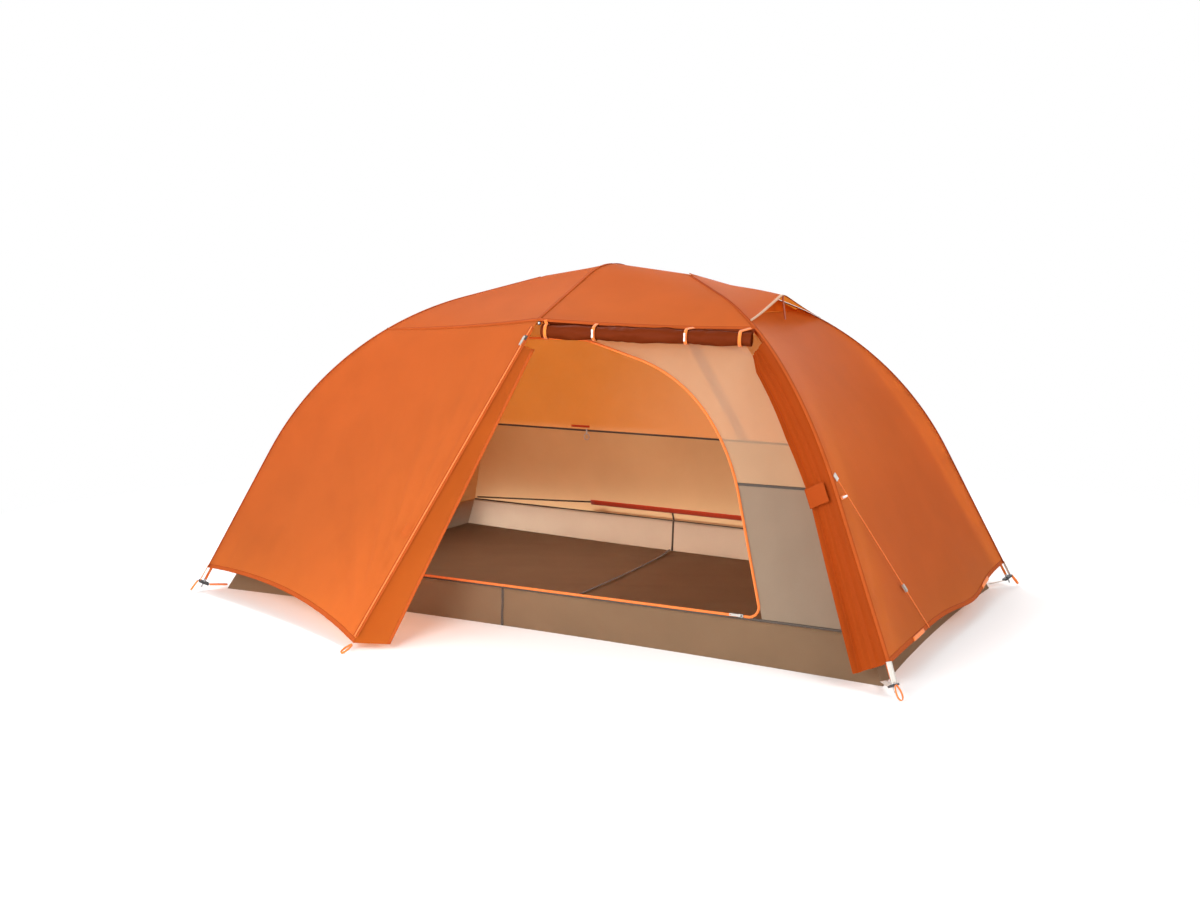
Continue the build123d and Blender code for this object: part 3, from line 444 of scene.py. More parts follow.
FLY = cloth("fly_ripstop", srgb(208, 108, 54), srgb(228, 136, 46), rough=0.5, creases=0.10)
# Rolled door and its leader: the fly's inner side, darkened well below the fly's tone as painted shade of the
# roll and of the header above it
FLY_INSIDE_SHADED = cloth("fly_inner_side_painted_shade", srgb(110, 42, 14), srgb(128, 52, 14), through=0.2, rough=0.45,
                   creases=0.6)
# Storm flap: the fly ripstop darkened, with a dimmer glow, as painted shade
FLY_FLAP_SHADED = cloth("fly_flap_ripstop_painted_shade", srgb(180, 90, 34), srgb(198, 108, 28), through=0.45, rough=0.5,
                 creases=0.10)
# Folded door edge: the fly ripstop darkened as painted shade of its folds beside the leg
FLY_EDGE_SHADED = cloth("fly_door_ripstop_painted_shade", srgb(162, 68, 20), srgb(176, 74, 16), through=0.35, rough=0.5,
                 creases=0.15)
SEAM = cloth("fly_seam_tape", srgb(190, 88, 38), srgb(190, 88, 28), through=0.25, rough=0.6,
             pitch=0.0026, grid=0.25)
COVER = cloth("fly_zip_cover", srgb(176, 74, 26), srgb(120, 50, 14), through=0.3, pitch=0.0026)
HOOD_EDGE = webbing("hood_binding", srgb(190, 140, 100))
# Vent netting: deep orange and nearly closed, painted as the shadow that the hood casts on the end panel
SHADED_SCREEN = cloth("vent_netting_painted_shade", srgb(196, 78, 10), srgb(150, 56, 8), through=0.2, hole=0.06)
# One inner ripstop in two tones: darker on the front wall as painted shade, paler on the back wall and the
# end walls' lower cloth as painted light from behind
SHADED_WALL = cloth("inner_ripstop_painted_shade", srgb(164, 146, 126), srgb(176, 150, 122), through=0.45, rough=0.65,
             creases=0.15)
LIT_BACK_WALL = cloth("inner_back_ripstop_painted_light", srgb(204, 172, 126), srgb(212, 182, 138), through=0.4, rough=0.65,
                  creases=0.15)
NET = cloth("inner_netting", srgb(226, 200, 168), srgb(226, 190, 140), hole=0.48, rough=0.8, creases=0.1)
TUB = cloth("floor_ripstop", srgb(138, 114, 90), srgb(232, 218, 202), through=0.48, rough=0.5, creases=0.4)
ORANGE = webbing("orange_webbing", srgb(246, 124, 34))
GREY = webbing("grey_webbing", srgb(206, 200, 190))
RED = webbing("zip_guard_tape", srgb(206, 60, 12))
COIL = webbing("zip_coil", srgb(240, 124, 50), pitch=0.0016)
TAPE = webbing("seam_tape_dark", srgb(70, 58, 48))
POLE = hard("anodised_pole", srgb(214, 110, 48), 0.32, metallic=1.0, grain=400)
BARE = hard("bare_aluminium", srgb(176, 178, 180), 0.38, metallic=1.0, grain=300)
STRUT = hard("strut_plastic", srgb(160, 66, 22), 0.5)
BLACK = hard("black_nylon", srgb(46, 46, 48), 0.5)
WHITE = hard("white_toggle_plastic", srgb(232, 232, 228), 0.35, coat=0.2)
ZINC = hard("painted_slider", srgb(108, 104, 100), 0.42, metallic=0.6)
PULL = hard("grey_pull_plastic", srgb(168, 162, 154), 0.5)

LEG_POLES = [f"leg_pole_{end}_{side}" for end in ("head", "foot") for side in ("front", "back")]
ZIPS = ("inner_front", "inner_back", "fly_front", "fly_back")
for names, material in ((("ridge_pole", "brow_pole", *LEG_POLES, "pole_ferrules"), POLE),
                        (("pole_tips",), BARE),
                        (("roll_toggle_left", "roll_toggle_right", "edge_toggle"), WHITE),
                        (("hubs", "brow_swivel", "pole_clips", "corner_buckles", "shock_cords"), BLACK),
                        (("vent_strut",), STRUT),
                        (("line_tensioner", "keeper_ring"), PULL),
                        ([f"{door}_slider" for door in ZIPS], ZINC),
                        ([f"{door}_pull" for door in ZIPS], PULL)):
    for name in names:
        nodes[name].data.materials.clear()
        nodes[name].data.materials.append(material)

# Rainfly: one sheet over the pole frame
ROOF_ROWS, LOWER_ROWS, PANEL_COLUMNS, END_COLUMNS, HEADER_EASE = 22, 56, 48, 64, 10
ROOF_DRAW = 0.008
PUCKER, PUCKER_LENGTHS = 0.0016, (0.05, 0.034, 0.021)
PANEL_CUT, PANEL_DRAW, PANEL_BELLY = 0.040, 0.008, 0.022
# Folds from a stake or a leg's foot, each an angle off the pulled edge, a width and a height
STAKE_FOLDS = ((0.05, 0.014, 0.0095), (0.10, 0.016, -0.0085), (0.16, 0.016, 0.0095), (0.22, 0.018, -0.0085),
               (0.29, 0.018, 0.0090), (0.37, 0.022, -0.0080), (0.47, 0.024, 0.0080), (0.60, 0.028, -0.0065),
               (0.75, 0.034, 0.0060), (0.95, 0.045, -0.0045))
END_FOLDS = ((0.10, 0.05, 0.0024), (0.26, 0.06, -0.0020), (0.5, 0.1, 0.0016), (0.9, 0.12, -0.0012))
STAKE_REACH, END_REACH = (0.20, 1.30), (0.15, 0.7)
HEM_RIPPLE, HEM_LENGTHS = 0.0046, (0.047, 0.031, 0.083, 0.026)
PANEL_RIPPLE, PANEL_LENGTHS = 0.0026, (0.21, 0.13)
END_DRAW, END_BELLY = 0.010, 0.022
END_RIPPLE, END_LENGTHS = 0.0016, (0.62, 0.41)
END_BULGE, BULGE_AT, BULGE_WIDTH, BULGE_START = 0.030, 0.64, 0.16, 0.72
BULGE_OUT, BULGE_DOWN = 0.75, 0.65
VENT_MARGIN = 0.040
BROW_TIP = brow_seam(FRONT, 1.0)


def roof(end):
    """One front roof panel, from the ridge to the header, puckered along the brow pole."""
    s, t = share_grid(ROOF_ROWS, PANEL_COLUMNS)
    points, outward = stretch(lambda k: brow_seam(FRONT, k), lambda k: leg_seam(end, FRONT, k * HEADER[end]),
                              s, t, ROOF_DRAW * s)
    pucker = waves(s * 0.5 + t * 0.12, PUCKER_LENGTHS, 11 + end) * PUCKER
    pucker = pucker * np.exp(-t / 0.22) * smooth(s * 1.5) * smooth(t / 0.02) * smooth((1 - s) / 0.04)
    return points + outward * pucker[..., None]


def zip_ends(side, inset=0.0):
    """A vestibule's zip, from the brow pole's tip to the stake; the back is the front turned half round."""
    turn = np.array([-side, -side, 1])
    return (BROW_TIP + [inset, 0, 0]) * turn, (STAKE + [inset, 0, 0]) * turn


def vestibule(end, side):
    """A vestibule panel from its leg to the zip, with the folds that spread from the stake."""
    tip, foot = zip_ends(side)
    s, t = share_grid(LOWER_ROWS, PANEL_COLUMNS)
    s = s * (1 - PANEL_CUT * 4 * t * (1 - t) * smooth(s * 1.1))
    points, outward = stretch(lambda k: leg_seam(end, side, HEADER[end] + (HEM[end] - HEADER[end]) * k),
                              straight(tip, foot), s, t, PANEL_DRAW + PANEL_BELLY * belly(s))
    corner = leg_seam(end, side, HEM[end])
    height = fan(points, foot, tip, corner, STAKE_FOLDS, *STAKE_REACH)
    height = height + waves(t + 0.05 * s, HEM_LENGTHS, 5) * HEM_RIPPLE * smooth((s - 0.55) / 0.45)
    height = height + waves(t * 0.7 - s * 0.2, PANEL_LENGTHS, 9) * PANEL_RIPPLE * belly(s)
    mask = smooth(t / 0.06) * smooth((1 - t) / 0.05) * smooth(s / 0.06)
    points = points + outward * (height * mask)[..., None]
    shift = facing(side, roof(end)[-1, ::-1]) - points[0]
    ease = 1 - smooth(np.arange(LOWER_ROWS) / HEADER_EASE)
    return points + shift[None] * ease[:, None, None], outward


def end_panel(end, start):
    """An end panel between the two legs, from a share of their length down to its hem."""
    shares = np.concatenate([np.linspace(0, HEADER[end], ROOF_ROWS),
                             np.linspace(HEADER[end], HEM[end], LOWER_ROWS)[1:]])
    shares = shares[shares >= start - 1e-9]
    if start > 0 and shares[0] > start + 1e-6:
        shares = np.concatenate([[start], shares])
    s, t = np.meshgrid(shares, np.linspace(0, 1, END_COLUMNS), indexing="ij")
    down = (s - shares[0]) / (shares[-1] - shares[0])
    draw = (END_DRAW + END_BELLY * belly(down)) * smooth(s / 0.08)
    points, outward = stretch(lambda k: leg_seam(end, FRONT, k), lambda k: leg_seam(end, BACK, k), s, t, draw)
    bulge = END_BULGE * np.exp(-((t - BULGE_AT) / BULGE_WIDTH) ** 2)
    bulge = bulge * smooth((down - BULGE_START) / (1 - BULGE_START)) * inside(t, 0.05)
    points = points + np.array([end * BULGE_OUT, 0, -BULGE_DOWN]) * bulge[..., None]
    front_foot, back_foot = (leg_seam(end, side, HEM[end]) for side in SIDES)
    top = leg_seam(end, FRONT, HEADER[end])
    height = fan(points, front_foot, top, back_foot, END_FOLDS, *END_REACH)
    height = height + fan(points, back_foot, mirror_y(top), front_foot, END_FOLDS, *END_REACH)
    height = height + waves(t * 0.9 + 0.5 * down, END_LENGTHS, 3) * END_RIPPLE * belly(down)
    mask = inside(t, 0.05) * smooth(down / 0.05)
    return points + outward * (height * mask)[..., None], outward


front_roofs = [roof(HEAD), roof(FOOT)]
vestibules = [vestibule(HEAD, FRONT), vestibule(HEAD, BACK), vestibule(FOOT, BACK)]
end_head = end_panel(HEAD, 0.0)
end_foot = end_panel(FOOT, DOOR_LEG.share(0, VENT_X - VENT_MARGIN))
hanging = [vestibules[0], end_head, end_foot, *vestibules[1:]]
fly_patches = front_roofs + [mirror_y(panel) for panel in front_roofs] + [points for points, _ in hanging]
canopy = dress("fly_canopy", fly_patches, FLY,
               ("fly_roof_front_head", "fly_roof_front_foot", "fly_roof_back_head", "fly_roof_back_foot",
                "fly_ridge", "fly_vestibule_front", "fly_vestibule_back_head", "fly_vestibule_back_foot",
                "fly_end_head", "fly_end_foot"))

# Seam tape on the poles and headers, and turned hems
TAPE_THICK, TAPE_LIFT, TAPE_START, HEM_LIFT = 0.0006, 0.0009, 0.012, 0.0008
LEG_TAPE, ROOF_TAPE, HEM_WIDTH, NARROW_HEM = 0.011, 0.012, 0.014, 0.010


def hem_band(grid, outward, width=HEM_WIDTH):
    """A turned hem along a panel's last row."""
    last = grid[-1]
    up = unit(grid[-2] - last)
    t = np.linspace(0, width, 4)
    return last[:, None] + up[:, None] * t[None, :, None] + outward[-1][:, None] * HEM_LIFT


def leg_tape(end, side):
    shares = np.linspace(TAPE_START, HEM[end], 120)
    out = leg_outward(end, side, shares)
    sides = np.cross(LEGS[end, side].way(shares), out)
    return strip(leg_seam(end, side, shares) + out * TAPE_LIFT, sides, LEG_TAPE)


def brow_tape(side):
    points = brow_seam(side, np.linspace(0, 1, 40))
    way = tangent(points)
    out = across(np.broadcast_to(UP, way.shape), way)
    return strip(points + out * TAPE_LIFT, ALONG_X, ROOF_TAPE)


def header_tape(end, side):
    points = facing(side, roof(end)[-1])
    out = unit(np.array([0, side, 0.75]))
    sides = np.cross(tangent(points), out)
    return strip(points + out * TAPE_LIFT, sides, ROOF_TAPE)


seam_bands = [leg_tape(end, side) for end in ENDS for side in SIDES]
seam_bands += [brow_tape(side) for side in SIDES]
seam_bands += [hem_band(points, outward) for points, outward in hanging]
seam_bands += [header_tape(end, side) for end in ENDS for side in SIDES]
seams = dress("fly_seams", seam_bands, SEAM, thickness=TAPE_THICK)

# Storm flap beside the front zip
FLAP_START, FLAP_SPREAD = 0.095, np.array([0.026, 0.022, -0.014])
FLAP_DRAW, FLAP_BELLY = 0.002, 0.004
FLAP_RIPPLE, FLAP_LENGTHS = 0.003, (0.16, 0.09, 0.23)


def storm_flap():
    tip, foot = zip_ends(FRONT)
    top = tip + unit(foot - tip) * FLAP_START
    s, t = share_grid(60, 16)
    points, outward = stretch(straight(top, foot), straight(top + FLAP_SPREAD, FLAP_FOOT), s, t,
                              FLAP_DRAW + FLAP_BELLY * s)
    ripple = waves(s + t * 0.05, FLAP_LENGTHS, 21) * FLAP_RIPPLE * t * smooth(s / 0.1)
    return points + outward * ripple[..., None], outward


flap_points, flap_outward = storm_flap()
# The storm flap's darker cloth is painted shade
flap = dress("fly_zip_flap", [flap_points], FLY_FLAP_SHADED, ("fly_zip_flap",))
flap_hem = hem_band(flap_points.transpose(1, 0, 2), flap_outward.transpose(1, 0, 2), NARROW_HEM)
flap_edge = dress("fly_flap_hem", [flap_hem], SEAM, thickness=TAPE_THICK)

# Fly zips: each coil on its tape, with a wide cover behind the back one
FLY_ZIP_INSET = {FRONT: -0.004, BACK: 0.0}
FLY_ZIP_TAPE = {FRONT: 0.018, BACK: 0.046}
FLY_ZIP_START, FLY_ZIP_STOP, FLY_TAPE_OFF = 0.03, 0.02, 0.0022


def fly_zip(side):
    """The tape and the coil of a vestibule's zip."""
    tip, foot = zip_ends(side, FLY_ZIP_INSET[side])
    way = unit(foot - tip)
    out = across([0, side, 0.5], way)
    along = np.linspace(FLY_ZIP_START, np.linalg.norm(foot - tip) - FLY_ZIP_STOP, 90)
    middle = tip + way * along[:, None]
    tape = strip(middle + out * FLY_TAPE_OFF, np.cross(way, out), FLY_ZIP_TAPE[side])
    return tape, tube(middle + out * ZIP_OFF, ZIP_R)


front_tape_grid, front_coil_grid = fly_zip(FRONT)
back_tape_grid, back_coil_grid = fly_zip(BACK)
fly_tape = dress("fly_zip_tape", [front_tape_grid], SEAM, thickness=TAPE_THICK)
back_tape = dress("fly_zip_cover", [back_tape_grid], COVER, thickness=TAPE_THICK)
dress("fly_zip_coil", [front_coil_grid, back_coil_grid], COIL, ("fly_zips",))

# Vent hood, propped open over its netting
HOOD_START, HOOD_LIFT, HOOD_FOOT_LIFT = 0.004, 0.004, 0.002
HOOD_POWER, HOOD_TOP, HOOD_CROWN = 1.12, 0.06, 0.4
SCREEN_AT, SCREEN_INSET, SCREEN_DROP, SCREEN_TOP_GAP = 0.84, 0.07, 0.008, 0.014
HOOD_BINDING_THICK = 0.0008


def hood_edges(share):
    """The hood's two edges, along the foot-end legs, at a share of its length."""
    stop = DOOR_LEG.share(0, VENT_X + VENT_LAP)
    at = HOOD_START + (stop - HOOD_START) * np.asarray(share)
    return [leg_seam(FOOT, side, at, SEAM_LIFT + HOOD_LIFT) for side in SIDES]


def hood_shape():
    """A tent-like fold that rises from the hub to the strut's height at its lip."""
    k, t = np.linspace(0, 1, 26), np.linspace(0, 1, 41)
    front, back = hood_edges(k)
    lift = HOOD_FOOT_LIFT + (VENT_RISE - HOOD_FOOT_LIFT) * k * k
    aside = np.abs(2 * t - 1)
    crown = (1 - HOOD_TOP) ** HOOD_POWER + (HOOD_TOP - aside) * HOOD_CROWN
    profile = np.where(aside < HOOD_TOP, crown, (1 - aside) ** HOOD_POWER)
    flat = front[:, None] + (back - front)[:, None] * t[None, :, None]
    return flat + VENT_WAY * (lift[:, None] * profile)[..., None]


def screen_shape():
    """The netting that stands under the hood, from a low line up to the hood's fold."""
    front, back = hood_edges(SCREEN_AT)
    peak = (front + back) / 2 + VENT_WAY * (VENT_RISE * SCREEN_AT ** 2 - SCREEN_TOP_GAP)
    low = VENT_WAY * -SCREEN_DROP
    a = front + (back - front) * SCREEN_INSET + low
    b = back + (front - back) * SCREEN_INSET + low
    s, t = share_grid(8, 30)
    s, t = s[..., None], t[..., None]
    top = np.where(t < 0.5, a + (peak - a) * (t * 2), peak + (b - peak) * (t * 2 - 1))
    base = a + (b - a) * t
    return base + (top - base) * s


hood_points = hood_shape()
hood = dress("vent_hood", [hood_points], FLY, ("vent_hood",))
binding = hem_band(hood_points, np.broadcast_to(VENT_WAY, hood_points.shape), NARROW_HEM)
hood_edge = dress("vent_hood_binding", [binding], HOOD_EDGE, thickness=HOOD_BINDING_THICK)
# The netting under the hood carries painted shadow
screen = dress("vent_screen", [screen_shape()], SHADED_SCREEN, ("vent_screen",))
for piece in (hood, hood_edge, screen):
    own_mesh(piece)

# Rolled front door of the fly: cloth wound in a spiral, drawn in by its loops
ROLL_TURNS, TURN_POINTS, ROLL_POINTS, ROLL_REACH = 10, 36, 110, 1.026
ROLL_CORE, ROLL_OUTER = 0.0045, ROLL_R - 0.0055
TIE_SPREAD = 0.12
# Wrinkles: turns about the roll and waves along it, the sway of those, and a height as a share of the radius
ROLL_WRINKLES = ((3, 26, 1.5, 9, 0.050), (5, -41, 2.0, 13, 0.034), (2, 88, 3.0, 17, 0.030))
LEADER_BACK, LEADER_SLANT = 0.0225, 1.2
LOOP_WIDTH, LOOP_GAP, LOOP_THICK, LOOP_FRONT, SEWN_FRONT = 0.010, 0.0024, 0.0012, 0.004, 0.002
ROLL_WAY = unit(ROLL_TO - ROLL_FROM)
ROLL_UP = across(UP, ROLL_WAY)
ROLL_FRONT = across([0, -1, 0], ROLL_WAY)


def opened(share, ties):
    """How far gathered cloth has opened out: 0 at a tie, 1 well away from them."""
    nearest = np.min([np.abs(np.asarray(share) - tie) for tie in ties], axis=0)
    return np.sin(np.minimum(nearest / TIE_SPREAD, 1) * math.pi / 2)


def round_roll(reach, angle):
    """Offsets from the roll's axis, which is a little flattened."""
    return (ROLL_UP * (reach * np.cos(angle))[..., None]
            + ROLL_FRONT * (ROLL_FLAT * reach * np.sin(angle))[..., None])


def roll_shape():
    """The wound door, and the cloth that leads from the header to it."""
    u = np.linspace(0, 1, ROLL_POINTS)[:, None]
    loose = opened(u * ROLL_REACH, ROLL_TIES)
    angle = np.linspace(0, 2 * np.pi * ROLL_TURNS, ROLL_TURNS * TURN_POINTS + 1)[None]
    radius = ROLL_CORE + ROLL_OUTER * angle / angle[0, -1]
    wrinkle = sum(height * np.sin(about * angle + along * u + sway * np.sin(sway_along * u))
                  for about, along, sway, sway_along, height in ROLL_WRINKLES)
    reach = radius * (ROLL_WAIST + ROLL_SWELL * loose + wrinkle * (0.25 + 0.75 * loose))
    centre = ROLL_FROM + (ROLL_TO - ROLL_FROM) * (u * ROLL_REACH)
    wound = centre[:, None] + round_roll(reach, angle)
    edge = roof(FOOT)[-1]
    over = centre[:, 0] / edge[-1, 0]
    header = np.stack([np.interp(over, np.linspace(0, 1, PANEL_COLUMNS), axis) for axis in edge.T], axis=-1)
    behind = centre + unit(ROLL_UP - ROLL_FRONT * LEADER_SLANT) * LEADER_BACK
    leader = header[:, None] + (behind - header)[:, None] * np.linspace(0, 1, 7)[None, :, None]
    return wound, leader, header


def roll_loop(share, header):
    """A loop round the roll, and the strap that sews it to the header."""
    around = np.linspace(0, 2 * np.pi, 41)
    at = ROLL_FROM + (ROLL_TO - ROLL_FROM) * share
    r = ROLL_R * ROLL_WAIST + LOOP_GAP
    sewn = header[int(share * (ROLL_POINTS - 1))] + [0, -SEWN_FRONT, 0]
    strap = ribbon(at + ROLL_UP * r + ROLL_FRONT * LOOP_FRONT, sewn, LOOP_WIDTH, ROLL_FRONT + ROLL_UP)
    return [strip(at + round_roll(r, around), ROLL_WAY, LOOP_WIDTH), strap]


wound, leader, roll_header = roll_shape()
# The roll and its leader take the dark fly cloth, whose tone holds painted shade
roll = dress("fly_door_roll", [wound, leader], FLY_INSIDE_SHADED, ("fly_door_roll",))
loop_grids = [grid for share in ROLL_TIES for grid in roll_loop(share, roll_header)]
dress("roll_loops", loop_grids, ORANGE, ("roll_loops",), thickness=LOOP_THICK)

# Folded door edge on the foot-end leg, and the tie round it
EDGE_TOP, EDGE_BOTTOM, EDGE_ROWS, EDGE_COLUMNS = 0.872, 0.080, 94, 49
# Heights along the leg, with the folded edge's width and the depth of its folds there
EDGE_HEIGHTS = (0.08, 0.30, TIE_Z, 0.66, 0.84, 0.87)
EDGE_WIDTHS = (0.074, 0.062, 0.050, 0.057, 0.050, 0.030)
EDGE_DEPTHS = (0.009, 0.007, 0.004, 0.006, 0.005, 0.002)
EDGE_FINE_FOLD, EDGE_WRAP = 0.0009, 0.019
TIE_LAP, TIE_SINK, TIE_BULGE, TIE_THICK = 0.006, 0.004, 0.003, 0.0008


def beside_leg(way):
    """Level, square to the foot-end front leg and along the doorway."""
    return unit(np.cross(way, [0, -1, 0]))


def edge_shape():
    """Cloth that wraps round the leg from its seam, then lies beside it in folds."""
    zs = np.linspace(EDGE_TOP, EDGE_BOTTOM, EDGE_ROWS)
    shares = np.array([DOOR_LEG.share(2, z) for z in zs])
    way = DOOR_LEG.way(shares)
    aside = beside_leg(way)
    width = np.interp(zs, EDGE_HEIGHTS, EDGE_WIDTHS)[:, None]
    depth = np.interp(zs, EDGE_HEIGHTS, EDGE_DEPTHS)[:, None]
    t = np.linspace(0, 1, EDGE_COLUMNS)[None]
    phase = 0.7 * np.sin(zs * 5)[:, None]
    fold = np.sin(t * 2 * np.pi * 1.5 + phase) * depth * (0.3 + 0.7 * t)
    fold = fold + np.sin(t * 2 * np.pi * 4 + 2 * phase) * EDGE_FINE_FOLD
    start = DOOR_LEG.at(shares) + aside * EDGE_OFF + [0, -EDGE_OFF, 0]
    inward = np.cross(aside, way)
    folded = start[:, None] + aside[:, None] * (width * t)[..., None] - inward[:, None] * fold[..., None]
    turn = DOOR_LEG.at(shares) + unit(aside * -0.3 + np.array([0, -1.0, 0])) * EDGE_WRAP
    k = np.linspace(0, 1, 9)[:-1][None, :, None]
    wrap = (leg_seam(FOOT, FRONT, shares)[:, None] * (1 - k) ** 2 + turn[:, None] * (2 * k * (1 - k))
            + folded[:, :1] * k ** 2)
    return np.concatenate([wrap, folded], axis=1)


def tie_shape():
    share = DOOR_LEG.share(2, TIE_Z)
    way = DOOR_LEG.way(share)
    aside = beside_leg(way)
    out = across([0, -1, 0], way)
    start = DOOR_LEG.at(share) + aside * (EDGE_OFF - TIE_LAP) + [0, -EDGE_OFF, 0] + out * (TIE_OFF - TIE_SINK)
    return ribbon(start, start + aside * TIE_LENGTH, TIE_WIDTH, out, 16, -TIE_BULGE, 12)


# The folded edge's dark cloth is painted shade
door_edge = dress("fly_door_edge", [edge_shape()], FLY_EDGE_SHADED, ("fly_door_edge",))
tie = dress("fly_door_tie", [tie_shape()], COVER, thickness=TIE_THICK)

# Inner tent: two leaning walls, each a plane from the floor's edge up
CORNER_X = FLOOR_X - TUB_LEAN_X * TUB_HEIGHT
WALL_COLUMNS, FIELD_ROWS, DOOR_ROWS = 40, 30, 44
WALL_RIPPLE, WALL_LENGTHS = 0.0015, (0.31, 0.17, 0.09)
INNER_END_ROWS, END_CLOTH_ROWS, GORE_ROWS, INNER_END_COLUMNS = 40, 18, 14, 48
INNER_END_DRAW, INNER_END_BELLY, GORE_DRAW, INNER_ROOF_DRAW = 0.003, 0.010, 0.002, 0.005
INNER_END_RIPPLE, INNER_END_LENGTHS = 0.002, (0.4, 0.23)


def wall_frame(side):
    """A wall's origin, its ways along and up, and its normal."""
    head, foot = (np.array([end * CORNER_X, side * (FLOOR_Y[end] - TUB_LEAN_Y * TUB_HEIGHT), TUB_HEIGHT])
                  for end in ENDS)
    along = unit(foot - head)
    normal = unit(np.cross(foot - head, [0, -side * WALL_LEAN, 1]))
    return (head + foot) / 2, along, np.cross(normal, along), normal


def wall_point(side, x, up, off=0.0):
    origin, along, rise, normal = wall_frame(side)
    x, up, off = (np.asarray(v, float)[..., None] for v in (x, up, off))
    return origin + along * x + rise * up + normal * off


def arc_through(a, b, c):
    """Points on the circle through three points, from the first to the last."""
    rows = np.array([np.subtract(b, a), np.subtract(c, a)], float)
    middle = np.linalg.solve(2 * rows, [np.dot(b, b) - np.dot(a, a), np.dot(c, c) - np.dot(a, a)])
    radius = math.dist(a, middle)
    start, stop = (math.atan2(p[1] - middle[1], p[0] - middle[0]) for p in (a, c))
    angle = np.linspace(start, stop, 200)
    return middle + radius * np.stack([np.cos(angle), np.sin(angle)], axis=-1)


WALL_EDGE = {end: arc_through((CORNER_X, 0.0), WALL_MID, (WALL_TOP_X[end], WALL_TOP)) for end in ENDS}
DOOR_RUN = Route([(DOOR_X, ZIP_FOOT), *DOOR_BENDS, (DOOR_TOP_X, WALL_TOP)], DOOR_RADII)


def edge_x(end, up):
    return end * np.interp(up, WALL_EDGE[end][:, 1], WALL_EDGE[end][:, 0])


def zip_x(up):
    run = DOOR_RUN.at(np.linspace(0, 1, 800))
    return np.interp(up, run[:, 1], run[:, 0])


def hinge_x(up):
    return DOOR_HINGE_X + (DOOR_HINGE_TOP_X - DOOR_HINGE_X) * np.asarray(up) / WALL_TOP


def wall_patch(side, left, right, low, high, rows, seed):
    """Cloth on a wall between two edges, each given as x by height, with a faint ripple."""
    s, t = share_grid(rows, WALL_COLUMNS)
    up = low + (high - low) * s
    x = left(up) + (right(up) - left(up)) * t
    off = waves(x + 0.3 * up, WALL_LENGTHS, seed) * WALL_RIPPLE * belly(t) * smooth(up / 0.05)
    return wall_point(side, x, up, off)


# The front wall's lower cloth is the painted-shade tone, the back wall's the painted-light tone
for side, label, lower_cloth in ((FRONT, "front", SHADED_WALL), (BACK, "back", LIT_BACK_WALL)):
    for band, low, high, material, slot in (("lower", 0.0, MESH_START, lower_cloth, "inner_cloth"),
                                            ("mesh", MESH_START, WALL_TOP, NET, "inner_mesh")):
        name = f"inner_{label}_{band}"
        fields = [wall_patch(side, lambda up: edge_x(HEAD, up), hinge_x, low, high, FIELD_ROWS, 3),
                  wall_patch(side, zip_x, lambda up: edge_x(FOOT, up), low, high, DOOR_ROWS, 4)]
        replaced = [name]
        if side == BACK:
            fields.insert(1, wall_patch(side, hinge_x, zip_x, low, high, DOOR_ROWS, 6))
            replaced.append(f"back_door_{band}")
        dress(name, fields, material, replaced)


def ridge_point(end):
    return np.array([end * (HUB_X + INNER_RIDGE_OFF), 0, HUB_Z - INNER_DROP])


def inner_end(end):
    """An end wall's cloth and netting up to the header, and the netting from there to the hub."""
    shares = np.linspace(0, 1, 60)
    up = shares * WALL_TOP

    def edge(side):
        run = wall_point(side, edge_x(end, up), up)
        return lambda k: np.stack([np.interp(k, shares, axis) for axis in run.T], axis=-1)
    s, t = share_grid(INNER_END_ROWS, INNER_END_COLUMNS)
    wall, out = stretch(edge(FRONT), edge(BACK), s, t, INNER_END_DRAW + INNER_END_BELLY * belly(s))
    ripple = waves(t * 1.2 + s, INNER_END_LENGTHS, 8) * INNER_END_RIPPLE * belly(t) * smooth(s / 0.1)
    wall = wall + out * ripple[..., None]
    gore_edges = [straight(edge(side)(1.0), ridge_point(end)) for side in SIDES]
    s, t = share_grid(GORE_ROWS, INNER_END_COLUMNS)
    gore, _ = stretch(*gore_edges, s, t, GORE_DRAW * (1 - s))
    gore[0] = wall[-1]
    return wall[:END_CLOTH_ROWS + 1], wall[END_CLOTH_ROWS:], gore


def inner_roof_panel(side):
    low = [wall_point(side, edge_x(end, WALL_TOP), WALL_TOP) for end in ENDS]
    s, t = share_grid(40, 24)
    points, _ = stretch(straight(*low), straight(ridge_point(HEAD), ridge_point(FOOT)), s, t,
                        INNER_ROOF_DRAW * belly(s))
    return points


(head_low, *head_high), (foot_low, *foot_high) = inner_end(HEAD), inner_end(FOOT)
ends = dress("inner_ends", head_high + foot_high, NET, ("inner_ends",))
# The end walls' lower cloth takes the painted-light tone
end_cloth = dress("inner_ends_lower", [head_low, foot_low], LIT_BACK_WALL)
inner_roof = dress("inner_roof", [inner_roof_panel(side) for side in SIDES], NET,
                   ("inner_roof",))

# Bathtub floor
TUB_LONG, TUB_SHORT, TUB_ROWS = 120, 70, 10
CRUMPLE, CRUMPLE_LENGTHS = 0.0055, ((0.41, 0.27, 0.15), (0.33, 0.19, 0.11))
TUB_PUFF, PUFF_LENGTHS, TUB_THICK = 0.004, (0.37, 0.21, 0.10), 0.0006


def tub_edge(key, z, lengthwise):
    """A long edge of the floor by its side, or a short one by its end, at a height and bowed inward."""
    x = FLOOR_X - TUB_LEAN_X * z
    y = {end: FLOOR_Y[end] - TUB_LEAN_Y * z for end in ENDS}
    bow = TOP_BOW + (FLOOR_BOW if lengthwise else FLOOR_END_BOW) * (1 - z / TUB_HEIGHT)

    def edge(k):
        inward = bow * 4 * k * (1 - k)
        if lengthwise:
            place = -x + 2 * x * k, key * (y[HEAD] + (y[FOOT] - y[HEAD]) * k - inward)
        else:
            place = key * (x - inward), -y[key] + 2 * y[key] * k
        return np.stack([*place, np.full_like(k, z)], axis=-1)
    return edge


